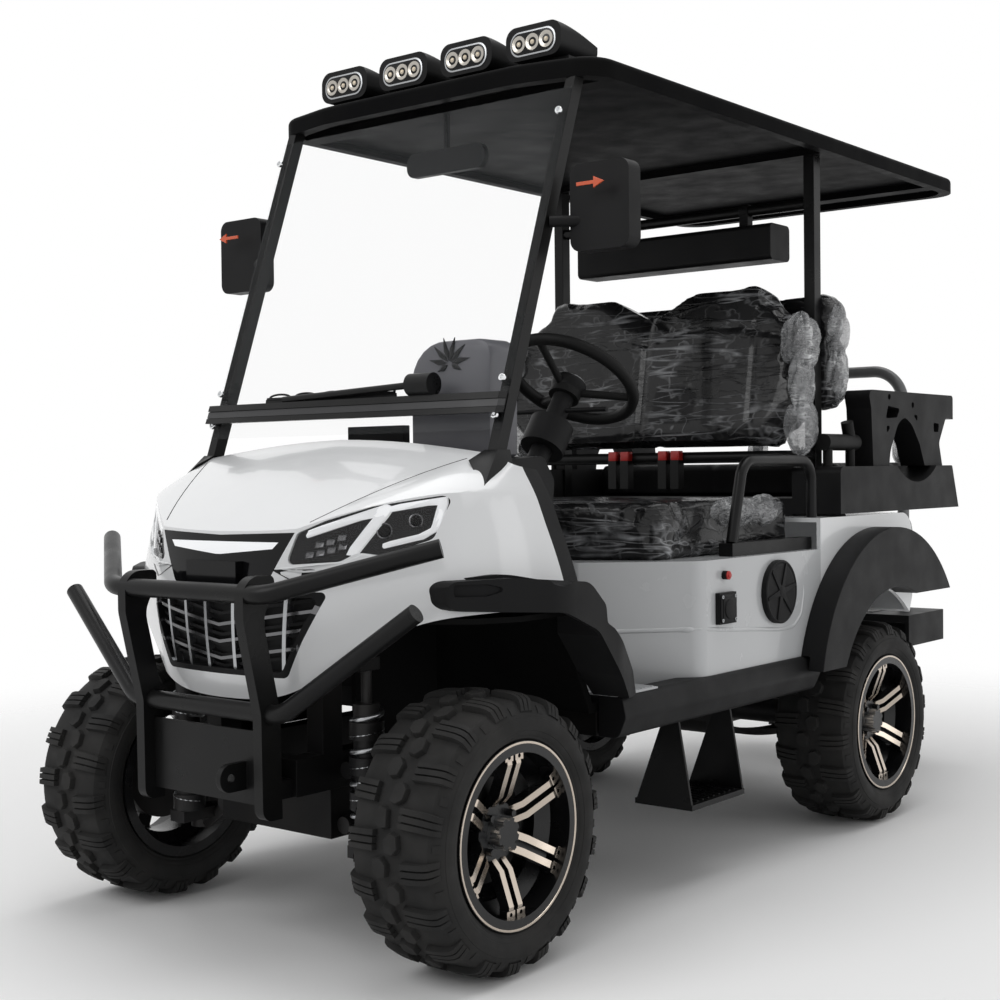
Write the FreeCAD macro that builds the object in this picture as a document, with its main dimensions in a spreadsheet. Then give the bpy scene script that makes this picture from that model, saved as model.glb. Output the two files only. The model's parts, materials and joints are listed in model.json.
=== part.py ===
"""Lifted four-seat golf cart, in millimetres. The front faces -Y, the left side is +X and Z is up.

Every piece is drawn with Y counted rearward from the front axle, and is then moved so that the middle of the
whole cart stands on the origin.
"""

import FreeCAD
import Part
import math
import os
import re
import types

from FreeCAD import Placement, Rotation, Vector

os.makedirs("parts", exist_ok=True)
doc = FreeCAD.newDocument("golf_cart")

SIZES = {
    "layout": {
        "wheelbase": 1737,
        "track_front": 1041,
        "track_rear": 1048,
        "nose_reach": 360,
        "tail_reach": 975,
        "seat_gap": 0.3,
        "overrun": 20,
    },
    "tyre": {
        "tyre_radius": 292,
        "tyre_width": 241,
        "tread_depth": 13,
        "tread_width": 208,
        "tread_edge_radius": 284,
        "tread_row_gap": 10,
        "middle_row_width": 76,
        "shoulder_width": 232,
        "shoulder_radius": 258,
        "sidewall_bulge_radius": 236,
        "bead_top_radius": 195,
        "bead_gap": 0.3,
        "lug_pitches": 18,
    },
    "rim": {
        "rim_lip_radius": 194,
        "rim_width": 222,
        "rim_lip_thickness": 9,
        "bead_seat_radius": 178,
        "rim_wall": 8,
        "rim_well_radius": 152,
        "rim_well_width": 70,
        "spoke_face_depth": 14,
        "spoke_thickness": 26,
        "dish_depth": 46,
        "spoke_bar_width": 15,
        "spoke_channel": 14,
        "spoke_knee_radius": 76,
        "spoke_shoulder_radius": 146,
        "spoke_web_thickness": 8,
        "spoke_pad_width": 26,
        "spoke_pad_length": 20,
        "spoke_pad_hole_radius": 4.5,
        "hub_radius": 62,
        "hub_cap_radius": 34,
        "hub_cap_length": 30,
        "hub_cap_flutes": 8,
        "wheel_nuts": 4,
        "wheel_nut_circle_radius": 49,
        "wheel_nut_radius": 8,
        "wheel_nut_length": 16,
    },
    "steering": {
        "kingpin_x": 360,
        "kingpin_radius": 20,
        "kingpin_low": 206,
        "kingpin_height": 168,
        "spindle_radius": 22,
        "drum_radius": 110,
        "drum_width": 46,
        "arm_reach": 120,
        "arm_inset": 15,
        "arm_thickness": 16,
        "arm_width": 34,
        "arm_low": 236,
        "tie_rod_radius": 10,
        "tie_rod_eye_radius": 17,
        "tie_rod_eye_height": 22,
        "tie_rod_gap": 0.5,
        "rack_radius": 26,
        "rack_half_length": 165,
        "rack_z": 300,
    },
    "steering_wheel": {
        "wheel_hub_x": 250,
        "wheel_hub_y": 700,
        "wheel_hub_z": 1250,
        "wheel_rim_radius": 166,
        "wheel_grip_radius": 16,
        "wheel_dish": 22,
        "column_tilt": 35.5,
        "column_radius": 27,
        "column_length": 660,
        "wheel_hub_radius": 40,
        "wheel_hub_height": 34,
        "wheel_spoke_thickness": 10,
        "pod_radius": 56,
        "pod_height": 78,
        "pod_drop": 84,
        "stalk_radius": 6,
        "stalk_length": 150,
    },
    "frame": {
        "rail_spacing": 165,
        "rail_width": 50,
        "rail_height": 80,
        "rail_low": 350,
        "rail_front": 205,
        "rail_end_gap": 30,
        "cross_half_length": 540,
        "cross_width": 45,
        "cross_height": 55,
        "toe_cross_y": 400,
        "rear_cross_share": 0.7398,
        "subframe_half_width": 178,
        "subframe_half_length": 92,
        "subframe_low": 238,
        "tower_reach": 165,
        "tower_width": 60,
        "tower_height": 215,
        "tower_thickness": 28,
    },
    "suspension": {
        "front_arm_radius": 13,
        "front_arm_sleeve": 19,
        "lower_pivot_z": 268,
        "upper_pivot_z": 390,
        "front_arm_spread": 110,
        "ball_eye_radius": 27,
        "ball_eye_height": 26,
        "shock_x": 292,
        "shock_lead": 95,
        "shock_radius": 38,
        "shock_seat_z": 246,
        "shock_seat_height": 26,
        "shock_seat_width": 50,
        "shock_rod_radius": 12,
        "shock_rod_length": 70,
        "shock_turns": 4,
        "shock_wire": 9,
    },
    "rear_axle": {
        "axle_tube_radius": 38,
        "diff_radius": 92,
        "diff_width": 150,
        "motor_radius": 82,
        "motor_length": 230,
        "leaf_x": 300,
        "leaf_width": 50,
        "leaf_thickness": 18,
        "leaf_half_length": 420,
        "leaf_rise": 62,
        "rear_shock_radius": 22,
        "rear_shock_rod_radius": 9,
        "rear_shock_x": 238,
        "rear_shock_behind": 72,
        "rear_shock_rod_length": 60,
        "rear_shock_seat": 14,
    },
    "battery": {
        "battery_length": 560,
        "battery_width": 620,
        "battery_height": 210,
        "battery_share": 0.426,
    },
    "floor": {
        "floor_thickness": 18,
        "floor_half_width": 540,
        "floor_front_y": 372,
        "toe_top_y": 236,
        "toe_top_z": 770,
        "pedal_width": 62,
        "pedal_height": 120,
        "pedal_thickness": 14,
        "pedal_x": 250,
        "pedal_spacing": 120,
        "pedal_z": 600,
    },
    "sill": {
        "sill_outer_x": 622,
        "sill_width": 76,
        "sill_height": 98,
        "sill_front_y": 400,
        "sill_rear_share": 0.7743,
        "sill_round": 22,
    },
    "cowl": {
        "cowl_wall": 12,
        "cowl_half_width": 596,
        "hood_back_y": 134,
        "hood_back_z": 1116,
        "nose_front": 266,
        "nose_low_z": 551,
        "nose_rear_y": 150,
        "cowl_low_z": 745,
        "cowl_rear_low_y": 232,
        "cowl_rear_mid_y": 190,
        "cowl_rear_mid_z": 925,
        "cowl_rear_top_y": 176,
        "cowl_rear_top_z": 1045,
        "cowl_rear_round": 260,
        "cowl_trim_width": 50,
    },
    "nose": {
        "grille_top_z": 790,
        "grille_low_z": 606,
        "grille_top_half_width": 285,
        "grille_low_half_width": 190,
        "grille_depth": 34,
        "grille_border": 12,
        "grille_recess": 8,
        "grille_back": 26,
        "grille_slat_width": 7,
        "grille_slat_step": 23,
        "grille_slats": 7,
        "grille_row_width": 7,
        "grille_row_z": 635,
        "grille_row_step": 37,
        "grille_rows": 3,
        "grille_row_rise_share": 0.15,
        "grille_upright_width": 9,
        "grille_upright_step": 74,
        "band_half_width": 213,
        "band_low_half_width": 148,
        "band_low_z": 802,
        "band_high_z": 914,
        "band_sag": 7,
        "band_depth": 24,
        "plate_half_width": 80,
        "plate_height": 46,
        "plate_z": 829,
        "plate_thickness": 4,
        "light_strip_half_width": 173,
        "light_strip_height": 14,
        "light_strip_sag": 14,
        "light_strip_z": 893,
        "lamp_inner_x": 196,
        "lamp_width": 284,
        "lamp_low_z": 846,
        "lamp_height": 146,
        "lamp_depth": 46,
        "lamp_recess": 6,
    },
    "dash": {
        "dash_rear_y": 372,
        "dash_top_z": 1072,
        "dash_low_z": 800,
        "dash_front_y": 130,
        "dash_wall": 14,
        "dash_half_width": 450,
        "cup_radius": 38,
        "cup_wall": 4,
        "cup_depth": 70,
        "cup_x": 360,
        "cup_y": 262,
        "display_half_width": 92,
        "display_height": 78,
        "display_depth": 24,
        "display_y": 250,
    },
    "windshield": {
        "post_x": 463,
        "post_width": 26,
        "post_depth": 34,
        "post_foot_y": 130,
        "post_foot_z": 1085,
        "post_top_y": 432,
        "pane_thickness": 5,
        "pane_half_width": 474,
        "lower_pane_low_z": 1128,
        "hinge_low_z": 1170,
        "hinge_height": 40,
        "hinge_depth": 30,
        "pane_top_margin": 26,
        "boot_top_margin": 5,
        "boot_front_lead": 90,
        "boot_inner_lead": 60,
        "boot_outer_reach": 52,
        "boot_front_reach": 28,
        "boot_low_drop": 85,
        "boot_tip_drop": 93,
        "boot_inner_drop": 23,
        "wiper_length": 420,
        "wiper_radius": 8,
        "wiper_motor_radius": 26,
        "wiper_motor_length": 70,
    },
    "roof": {
        "roof_half_width": 529,
        "roof_front_y": 400,
        "roof_behind": 819,
        "roof_top_z": 1996,
        "roof_height": 48,
        "roof_wall": 12,
        "roof_corner": 90,
        "roof_bow": 46,
        "roof_edge_round": 16,
        "roof_rib_width": 30,
        "channel_inset": 70,
        "channel_width": 16,
        "channel_depth": 5,
    },
    "lamp_bar": {
        "pod_width": 166,
        "pod_depth": 150,
        "pod_tall": 82,
        "pod_spacing": 211,
        "pod_front_y": 482,
        "pod_round": 30,
        "bar_height": 30,
        "bar_depth": 60,
        "bar_half_width": 400,
    },
    "rear_posts": {
        "rear_post_x": 455,
        "rear_post_share": 0.9424,
        "rear_post_width": 34,
        "rear_post_depth": 40,
        "rear_cross_z": 1812,
        "rear_cross_radius": 16,
        "sound_bar_half_width": 350,
        "sound_bar_height": 108,
        "sound_bar_depth": 120,
        "sound_bar_top_z": 1762,
        "sound_bar_round": 16,
        "sound_bar_strap_width": 30,
        "sound_bar_strap_thickness": 5,
        "sound_bar_strap_x": 220,
    },
    "mirrors": {
        "mirror_y": 380,
        "mirror_inner_x": 512,
        "mirror_width": 160,
        "mirror_low_z": 1530,
        "mirror_height": 196,
        "mirror_depth": 46,
        "mirror_round": 26,
        "mirror_arm_radius": 13,
        "mirror_arm_z": 1600,
        "inside_mirror_half_width": 130,
        "inside_mirror_height": 62,
        "inside_mirror_depth": 18,
        "inside_mirror_z": 1830,
        "inside_mirror_y": 520,
        "inside_mirror_stem_radius": 8,
    },
    "seat_box": {
        "box_half_width": 596,
        "box_front_half_width": 352,
        "box_front_share": 0.3235,
        "box_corner_share": 0.4444,
        "box_rear_share": 0.806,
        "box_top_z": 812,
        "box_wall": 12,
        "box_round": 60,
        "ledge_width": 46,
        "speaker_radius": 84,
        "speaker_depth": 14,
        "speaker_behind": -587,
        "speaker_z": 712,
        "port_share": 0.505,
        "port_z": 690,
        "port_length": 82,
        "port_height": 78,
        "port_depth": 12,
        "key_radius": 11,
        "key_rise": 82,
    },
    "rear_body": {
        "rear_body_top_z": 898,
        "rear_body_behind": 268,
        "rear_body_tail_low_z": 640,
        "rear_body_round": 70,
        "arch_radius": 368,
        "arch_rise": 28,
        "arch_inner_x": 380,
        "tail_lamp_width": 60,
        "tail_lamp_height": 130,
        "tail_lamp_depth": 24,
        "tail_lamp_x": 500,
        "tail_lamp_z": 760,
    },
    "flares": {
        "flare_front_y": 85,
        "flare_rear_y": 445,
        "flare_top_z": 812,
        "flare_leg_low_z": 528,
        "flare_outer_x": 662,
        "flare_inner_x": 470,
        "flare_front_x": 512,
        "flare_leg_x": 612,
        "flare_leg_inner_x": 541,
        "flare_leg_y": 330,
        "flare_wall": 12,
        "flare_ridge_inset": 26,
        "flare_notch_y": 126,
        "flare_notch_radius": 44,
        "flare_notch_depth": 17,
        "flare_pocket_depth": 8,
        "rear_flare_outer_radius": 478,
        "rear_flare_outer_x": 668,
        "rear_flare_low_z": 490,
        "rear_flare_tail_z": 660,
        "rear_flare_center_rise": 92,
    },
    "front_seat": {
        "cushion_front_share": 0.3477,
        "cushion_rear_share": 0.7945,
        "cushion_pan_inset": 20,
        "lid_hinge_x": 150,
        "lid_hinge_length": 44,
        "lid_hinge_gap": 0.5,
        "lid_lug_width": 6,
        "lid_lug_reach": 3.5,
        "lid_pin_radius": 2.5,
        "lid_barrel_radius": 5,
        "lid_hinge_lead": 6,
        "lid_leaf_thickness": 3,
        "cushion_height": 142,
        "cushion_half_width": 512,
        "cushion_corner": 130,
        "cushion_round": 40,
        "cushion_pan_height": 8,
        "backrest_low_z": 1098,
        "backrest_height": 496,
        "backrest_half_width": 512,
        "backrest_thickness": 118,
        "backrest_lean": 10,
        "backrest_share": 0.8071,
        "backrest_hump_width": 205,
        "backrest_dip": 74,
        "backrest_shoulder": 96,
        "backrest_round": 34,
        "buckle_x": 90,
        "buckle_width": 30,
        "buckle_depth": 22,
        "buckle_height": 92,
        "buckle_spread": 22,
        "seat_frame_tube": 17,
        "hip_x": 548,
        "hip_radius": 15,
        "hip_front_share": 0.5757,
        "hip_rear_share": 0.829,
        "hip_top_z": 1058,
        "hip_base_width": 40,
        "hip_base_height": 34,
        "hip_bend": 60,
    },
    "rear_seat": {
        "rear_back_low_z": 1200,
        "rear_back_height": 360,
        "rear_back_half_width": 500,
        "rear_back_thickness": 112,
        "rear_back_round": 34,
        "rear_cushion_front_behind": 63,
        "rear_cushion_rear_behind": 663,
        "rear_cushion_half_width": 436,
        "rear_cushion_height": 100,
        "base_low_z": 905,
        "base_tray_height": 45,
        "base_front_behind": -215,
        "base_rear_behind": 609,
        "base_inner_x": 444,
        "base_outer_x": 598,
        "base_top_z": 1040,
        "base_tail_lean": 50,
        "notch_radius": 238,
        "notch_depth": 50,
        "notch_behind": 308,
        "strut_behind": 493,
        "strut_size": 36,
        "armrest_inner_x": 500,
        "armrest_outer_x": 580,
        "armrest_front_behind": 4,
        "armrest_rear_behind": 630,
        "armrest_top_z": 1266,
        "armrest_hole_radius": 9,
        "handrail_z": 1110,
        "handrail_radius": 24,
        "handrail_front_behind": -207,
        "handrail_rear_behind": -8,
        "handrail_x": 540,
        "handrail_post_radius": 14,
        "handrail_knob_radius": 18,
        "handrail_knob_length": 60,
    },
    "footrest": {
        "footrest_half_width": 400,
        "footrest_length": 290,
        "footrest_thickness": 26,
        "footrest_top_z": 535,
        "footrest_tread_margin": 36,
        "footrest_tread_height": 3,
        "footrest_wall": 14,
        "grab_half_width": 288,
        "grab_radius": 20,
        "grab_inset": 78,
        "grab_top_z": 1395,
        "grab_bend": 110,
    },
    "guard": {
        "guard_tube_radius": 20,
        "guard_upper_z": 792,
        "guard_upper_half_width": 246,
        "guard_upper_end_x": 534,
        "guard_upper_end_y": 124,
        "guard_upper_end_z": 884,
        "guard_lower_z": 540,
        "guard_lower_half_width": 236,
        "guard_lower_end_x": 552,
        "guard_lower_end_y": 222,
        "guard_lower_end_z": 762,
        "guard_lower_y": 288,
        "guard_bend": 90,
        "guard_tube_gap": 4,
        "hoop_inner_x": 178,
        "hoop_thickness": 26,
        "hoop_width": 54,
        "hoop_top_z": 828,
        "hoop_low_z": 318,
        "hoop_low_y": 286,
        "plate_top_z": 520,
        "plate_low_z": 344,
        "plate_wall": 6,
        "tow_plate_thickness": 14,
        "tow_plate_height": 60,
        "tow_eye_radius": 9,
        "tow_eye_x": 118,
        "tow_eye_y": 329,
        "tow_eye_z": 404,
    },
    "steps": {
        "step_share": 0.4289,
        "step_length": 255,
        "step_inner_x": 412,
        "step_outer_x": 580,
        "step_z": 200,
        "step_thickness": 14,
        "step_bracket_wall": 8,
        "step_bracket_width": 40,
    },
}


def fill_sheet(groups):
    """Writes each group of sizes into the sheet, one row a size, and gives each value cell its alias."""
    sheet = doc.addObject("Spreadsheet::Sheet", "Sizes")
    row = 1
    for group, sizes in groups.items():
        sheet.set("A" + str(row), group)
        row += 1
        for name, value in sizes.items():
            sheet.set("A" + str(row), name)
            sheet.set("B" + str(row), str(value))
            sheet.setAlias("B" + str(row), name)
            row += 1
    doc.recompute()
    return sheet


def read_sheet(sheet, groups):
    """The sheet's values by name, for the shapes that are worked out in code."""
    names = [name for sizes in groups.values() for name in sizes]
    return types.SimpleNamespace(**{name: float(sheet.get(name)) for name in names})


def add_places(sizes):
    """Adds the places along the cart, counted rearward from the front axle: those between the axles are shares
    of the wheelbase, and those at the tail are counted from the rear axle."""
    base = sizes.wheelbase
    sizes.rear_cross_y = base * sizes.rear_cross_share
    sizes.sill_rear_y = base * sizes.sill_rear_share
    sizes.battery_y = base * sizes.battery_share
    sizes.box_front_y = base * sizes.box_front_share
    sizes.box_corner_y = base * sizes.box_corner_share
    sizes.box_rear_y = base * sizes.box_rear_share
    sizes.port_y = base * sizes.port_share
    sizes.cushion_front_y = base * sizes.cushion_front_share
    sizes.cushion_rear_y = base * sizes.cushion_rear_share
    sizes.backrest_low_y = base * sizes.backrest_share
    sizes.hip_front_y = base * sizes.hip_front_share
    sizes.hip_rear_y = base * sizes.hip_rear_share
    sizes.rear_post_y = base * sizes.rear_post_share
    sizes.step_front_y = base * sizes.step_share
    sizes.speaker_y = base + sizes.speaker_behind
    sizes.rear_body_rear_y = base + sizes.rear_body_behind
    sizes.roof_rear_y = base + sizes.roof_behind
    sizes.rear_cushion_front_y = base + sizes.rear_cushion_front_behind
    sizes.rear_cushion_rear_y = base + sizes.rear_cushion_rear_behind
    sizes.base_front_y = base + sizes.base_front_behind
    sizes.base_rear_y = base + sizes.base_rear_behind
    sizes.notch_y = base + sizes.notch_behind
    sizes.strut_y = base + sizes.strut_behind
    sizes.armrest_front_y = base + sizes.armrest_front_behind
    sizes.armrest_rear_y = base + sizes.armrest_rear_behind
    sizes.handrail_front_y = base + sizes.handrail_front_behind
    sizes.handrail_rear_y = base + sizes.handrail_rear_behind
    sizes.hinge_front_y = sizes.cushion_front_y - sizes.lid_hinge_lead
    sizes.hinge_front_z = sizes.box_top_z + sizes.lid_barrel_radius + 2 * sizes.lid_hinge_gap
    sizes.hinge_rear_y = sizes.rear_cushion_rear_y + sizes.lid_hinge_lead + sizes.lid_hinge_gap
    sizes.hinge_rear_z = sizes.base_low_z + sizes.base_tray_height + sizes.lid_barrel_radius + 4 * sizes.lid_hinge_gap
    return sizes


sheet = fill_sheet(SIZES)
d = read_sheet(sheet, SIZES)
ALIASES = set(vars(d))
add_places(d)
WORD = re.compile(r"[a-z][a-z_0-9]*")
MIDDLE = "nose_reach / 2 - wheelbase / 2 - tail_reach / 2"
nodes = []


def bind(thing, prop, text):
    """Ties one property to an expression in the sheet's values."""
    thing.setExpression(prop, WORD.sub(lambda w: "Sizes." + w[0] if w[0] in ALIASES else w[0], text))


def node(thing, label):
    """Names a finished piece and moves it from the axle's place to the cart's middle."""
    thing.Label = label
    bind(thing, "Placement.Base.y", MIDDLE)
    nodes.append(thing)
    return thing


def shape_node(label, *shapes):
    """A finished piece whose shape is worked out in code, as one solid or as several that stand apart."""
    piece = doc.addObject("Part::Feature", label)
    piece.Shape = Part.makeCompound(list(shapes))
    return node(piece, label)


def block(name, low, span):
    """A box of the document, from its low corner and its three spans, all tied to the sheet."""
    box = doc.addObject("Part::Box", name)
    for prop, text in zip(("Length", "Width", "Height"), span):
        bind(box, prop, text)
    for axis, text in zip("xyz", low):
        bind(box, "Placement.Base." + axis, text)
    return box


def rod(name, foot, radius, length, direction):
    """A cylinder of the document along one direction, tied to the sheet."""
    bar = doc.addObject("Part::Cylinder", name)
    bind(bar, "Radius", radius)
    bind(bar, "Height", length)
    bar.Placement = Placement(Vector(), Rotation(Vector(0, 0, 1), direction))
    for axis, text in zip("xyz", foot):
        bind(bar, "Placement.Base." + axis, text)
    return bar


def joined(label, pieces):
    """One solid out of several that touch or cross."""
    fuse = doc.addObject("Part::MultiFuse", label)
    fuse.Shapes = pieces
    return node(fuse, label)


def side(y, z):
    return Vector(0, y, z)


def plan(x, y):
    return Vector(x, y, 0)


def front(x, z):
    return Vector(x, 0, z)


NORMALS = {side: Vector(1, 0, 0), plan: Vector(0, 0, 1), front: Vector(0, 1, 0)}


def corner_arc(before, at, after, radius):
    """The arc that rounds one corner, with its two ends, cut short where its edges are too short for it."""
    to_before = (before - at).normalize()
    to_after = (after - at).normalize()
    half = to_before.getAngle(to_after) / 2
    room = min(before.distanceToPoint(at), after.distanceToPoint(at)) * 0.49
    reach = min(radius / math.tan(half), room)
    radius = reach * math.tan(half)
    middle = (to_before + to_after).normalize()
    start = at + to_before * reach
    end = at + to_after * reach
    top = at + middle * (radius / math.sin(half) - radius)
    return start, Part.Arc(start, top, end).toShape(), end


def outline(plane, points):
    """A closed wire through points (u, v) or (u, v, corner radius) of one plane."""
    places = [plane(p[0], p[1]) for p in points]
    edges = []
    starts = []
    for i, p in enumerate(points):
        if len(p) == 3 and p[2] > 0:
            before, after = places[i - 1], places[(i + 1) % len(places)]
            starts.append(corner_arc(before, places[i], after, p[2]))
        else:
            starts.append((places[i], None, places[i]))
    for i, (start, arc, end) in enumerate(starts):
        if arc:
            edges.append(arc)
        following = starts[(i + 1) % len(starts)][0]
        if end.distanceToPoint(following) > 1e-6:
            edges.append(Part.LineSegment(end, following).toShape())
    return Part.Wire(edges)


def prism(plane, points, low, high):
    """A solid with the given outline, from low to high along the plane's normal."""
    normal = NORMALS[plane]
    wire = outline(plane, points)
    wire.translate(normal * low)
    return Part.Face(wire).extrude(normal * (high - low))


def cuboid(x0, x1, y0, y1, z0, z1):
    return Part.makeBox(x1 - x0, y1 - y0, z1 - z0, Vector(x0, y0, z0))


def cylinder(radius, foot, top):
    return Part.makeCylinder(radius, foot.distanceToPoint(top), foot, top - foot)


def tube(points, radius, bend):
    """A round bar that runs through the points, with a tangent arc at each one between."""
    edges = []
    last = points[0]
    for i in range(1, len(points) - 1):
        start, arc, end = corner_arc(points[i - 1], points[i], points[i + 1], bend)
        edges.append(Part.LineSegment(last, start).toShape())
        edges.append(arc)
        last = end
    edges.append(Part.LineSegment(last, points[-1]).toShape())
    path = Part.Wire(edges)
    ring = Part.Wire(Part.makeCircle(radius, points[0], points[1] - points[0]))
    return path.makePipe(Part.Face(ring))


def mirrored(shape):
    return shape.mirror(Vector(), Vector(1, 0, 0))


def pair(shape):
    """The left piece and its mirror image."""
    return [shape, mirrored(shape)]


def largest(shape):
    """The biggest solid of a shape that a cut has parted."""
    return max(shape.Solids, key=lambda solid: solid.Volume)


def fused(shapes):
    whole = shapes[0].fuse(shapes[1:]).removeSplitter()
    return whole.Solids[0] if len(whole.Solids) == 1 else whole


def rounded(shape, radius, test):
    """Fillets the edges whose middle passes the test."""
    edges = [e for e in shape.Edges if test(e.CenterOfMass)]
    return shape.makeFillet(radius, edges)


def frame_rails():
    """Two box-section rails, the cross members that lie on them and the towers over the front shocks."""
    rail_length = "rail_front + wheelbase + tail_reach - rail_end_gap"
    rail_top = "rail_low + rail_height"
    tower_y = "-shock_lead - tower_width / 2"
    parts = []
    for name, start in (("left", "rail_spacing - rail_width / 2"),
                        ("right", "-rail_spacing - rail_width / 2")):
        reach = start if name == "left" else "-rail_spacing + rail_width / 2 - tower_reach"
        parts.append(block("rail_" + name, (start, "-rail_front", "rail_low"),
                           ("rail_width", rail_length, "rail_height")))
        parts.append(block("tower_" + name, (start, tower_y, rail_top),
                           ("rail_width", "tower_width", "tower_height")))
        parts.append(block("tower_top_" + name,
                           (reach, tower_y, rail_top + " + tower_height - tower_thickness"),
                           ("tower_reach", "tower_width", "tower_thickness")))
    crossings = {
        "toe": "toe_cross_y",
        "step_front": "wheelbase * step_share",
        "step_rear": "wheelbase * step_share + step_length - cross_width",
        "rear": "wheelbase * rear_cross_share",
    }
    for name, place in crossings.items():
        parts.append(block("cross_" + name, ("-cross_half_length", place, rail_top),
                           ("2 * cross_half_length", "cross_width", "cross_height")))
    ends = {"nose": "-rail_front", "tail": "wheelbase + tail_reach - rail_end_gap - cross_width"}
    for name, place in ends.items():
        parts.append(block("tie_" + name, ("-rail_spacing", place, "rail_low"),
                           ("2 * rail_spacing", "cross_width", "rail_height")))
    parts.append(block("subframe", ("-subframe_half_width", "-subframe_half_length", "subframe_low"),
                       ("2 * subframe_half_width", "2 * subframe_half_length", "rail_low - subframe_low")))
    return joined("frame_rails", parts)


def control_arm(pivot_x, pivot_z, eye_low, root_z):
    """A bent-tube arm: two sleeves at the frame, two legs and a flat eye at the kingpin."""
    eye_top = eye_low + d.ball_eye_height
    eye = cylinder(d.ball_eye_radius, Vector(d.kingpin_x, 0, eye_low), Vector(d.kingpin_x, 0, eye_top))
    root = Vector(d.kingpin_x - d.ball_eye_radius / 2, 0, root_z)
    parts = [eye]
    for y in (-d.front_arm_spread / 2, d.front_arm_spread / 2):
        pivot = Vector(pivot_x + d.front_arm_sleeve, y, pivot_z)
        along = Vector(0, d.front_arm_sleeve, 0)
        parts.append(cylinder(d.front_arm_sleeve, pivot - along, pivot + along))
        parts.append(cylinder(d.front_arm_radius, pivot, root))
    return fused(parts)


def front_arms():
    """Lower and upper arms. The lower one carries the seat of its shock."""
    low_eye = d.kingpin_low - d.seat_gap - d.ball_eye_height
    lower = control_arm(d.subframe_half_width, d.lower_pivot_z, low_eye, low_eye + d.front_arm_radius / 2)
    seat = cuboid(d.shock_x - d.shock_seat_width / 2, d.shock_x + d.shock_seat_width / 2,
                  -d.shock_lead - d.shock_radius, 0,
                  d.shock_seat_z - d.shock_seat_height, d.shock_seat_z)
    lower = fused([lower, seat])
    high_eye = d.kingpin_low + d.kingpin_height + d.seat_gap
    upper = control_arm(d.rail_spacing + d.rail_width / 2, d.upper_pivot_z, high_eye,
                        high_eye + d.ball_eye_height - d.front_arm_radius / 2)
    return shape_node("front_arms", *pair(lower), *pair(upper))


def front_coilovers():
    """Shock bodies with a coil drawn as a ribbed barrel, standing on the lower arms."""
    top_z = d.rail_low + d.rail_height + d.tower_height - d.tower_thickness
    span = top_z - d.shock_rod_length - d.shock_seat_z
    turn = span / d.shock_turns
    profile = [Vector(0, 0, d.shock_seat_z)]
    for i in range(int(d.shock_turns)):
        low = d.shock_seat_z + i * turn
        profile.append(Vector(d.shock_radius, 0, low))
        profile.append(Vector(d.shock_radius, 0, low + turn / 2))
        profile.append(Vector(d.shock_radius - d.shock_wire, 0, low + turn / 2))
        profile.append(Vector(d.shock_radius - d.shock_wire, 0, low + turn))
    profile.append(Vector(d.shock_rod_radius, 0, top_z - d.shock_rod_length))
    profile.append(Vector(d.shock_rod_radius, 0, top_z))
    profile.append(Vector(0, 0, top_z))
    body = Part.Face(Part.makePolygon(profile + profile[:1])).revolve(Vector(), Vector(0, 0, 1), 360)
    body.translate(Vector(d.shock_x, -d.shock_lead, 0))
    return shape_node("front_coilovers", *pair(body))


def steering_rack():
    """The rack housing with its boots, held on the back of the subframe."""
    centre = Vector(0, d.subframe_half_length + d.rack_radius, d.rack_z)
    reach = Vector(d.rack_half_length, 0, 0)
    return shape_node("steering_rack", cylinder(d.rack_radius, centre - reach, centre + reach))


def rear_axle():
    """The axle tube with its final drive, and the motor as one plain block behind it."""
    centre = Vector(0, d.wheelbase, d.tyre_radius)
    reach = Vector(d.track_rear / 2 + hub_back() - d.seat_gap, 0, 0)
    half = Vector(d.diff_width / 2, 0, 0)
    drum = Vector(d.drum_width, 0, 0)
    drums = [cylinder(d.drum_radius, reach * s + centre - drum * s, reach * s + centre) for s in (-1, 1)]
    tube_part = cylinder(d.axle_tube_radius, centre - reach, centre + reach)
    case = cylinder(d.diff_radius, centre - half, centre + half)
    back = Vector(0, d.diff_radius * 0.8, 0)
    motor = cylinder(d.motor_radius, centre + back, centre + back + Vector(0, d.motor_length, 0))
    rails = [cuboid(x - d.rail_width, x + d.rail_width, d.wheelbase - d.motor_length,
                    d.wheelbase + 2 * d.motor_length, d.rail_low - d.overrun, d.rail_low + d.rail_height)
             for x in (-d.rail_spacing, d.rail_spacing)]
    return shape_node("rear_axle", fused([tube_part, case, motor] + drums).cut(Part.makeCompound(rails)))


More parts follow.
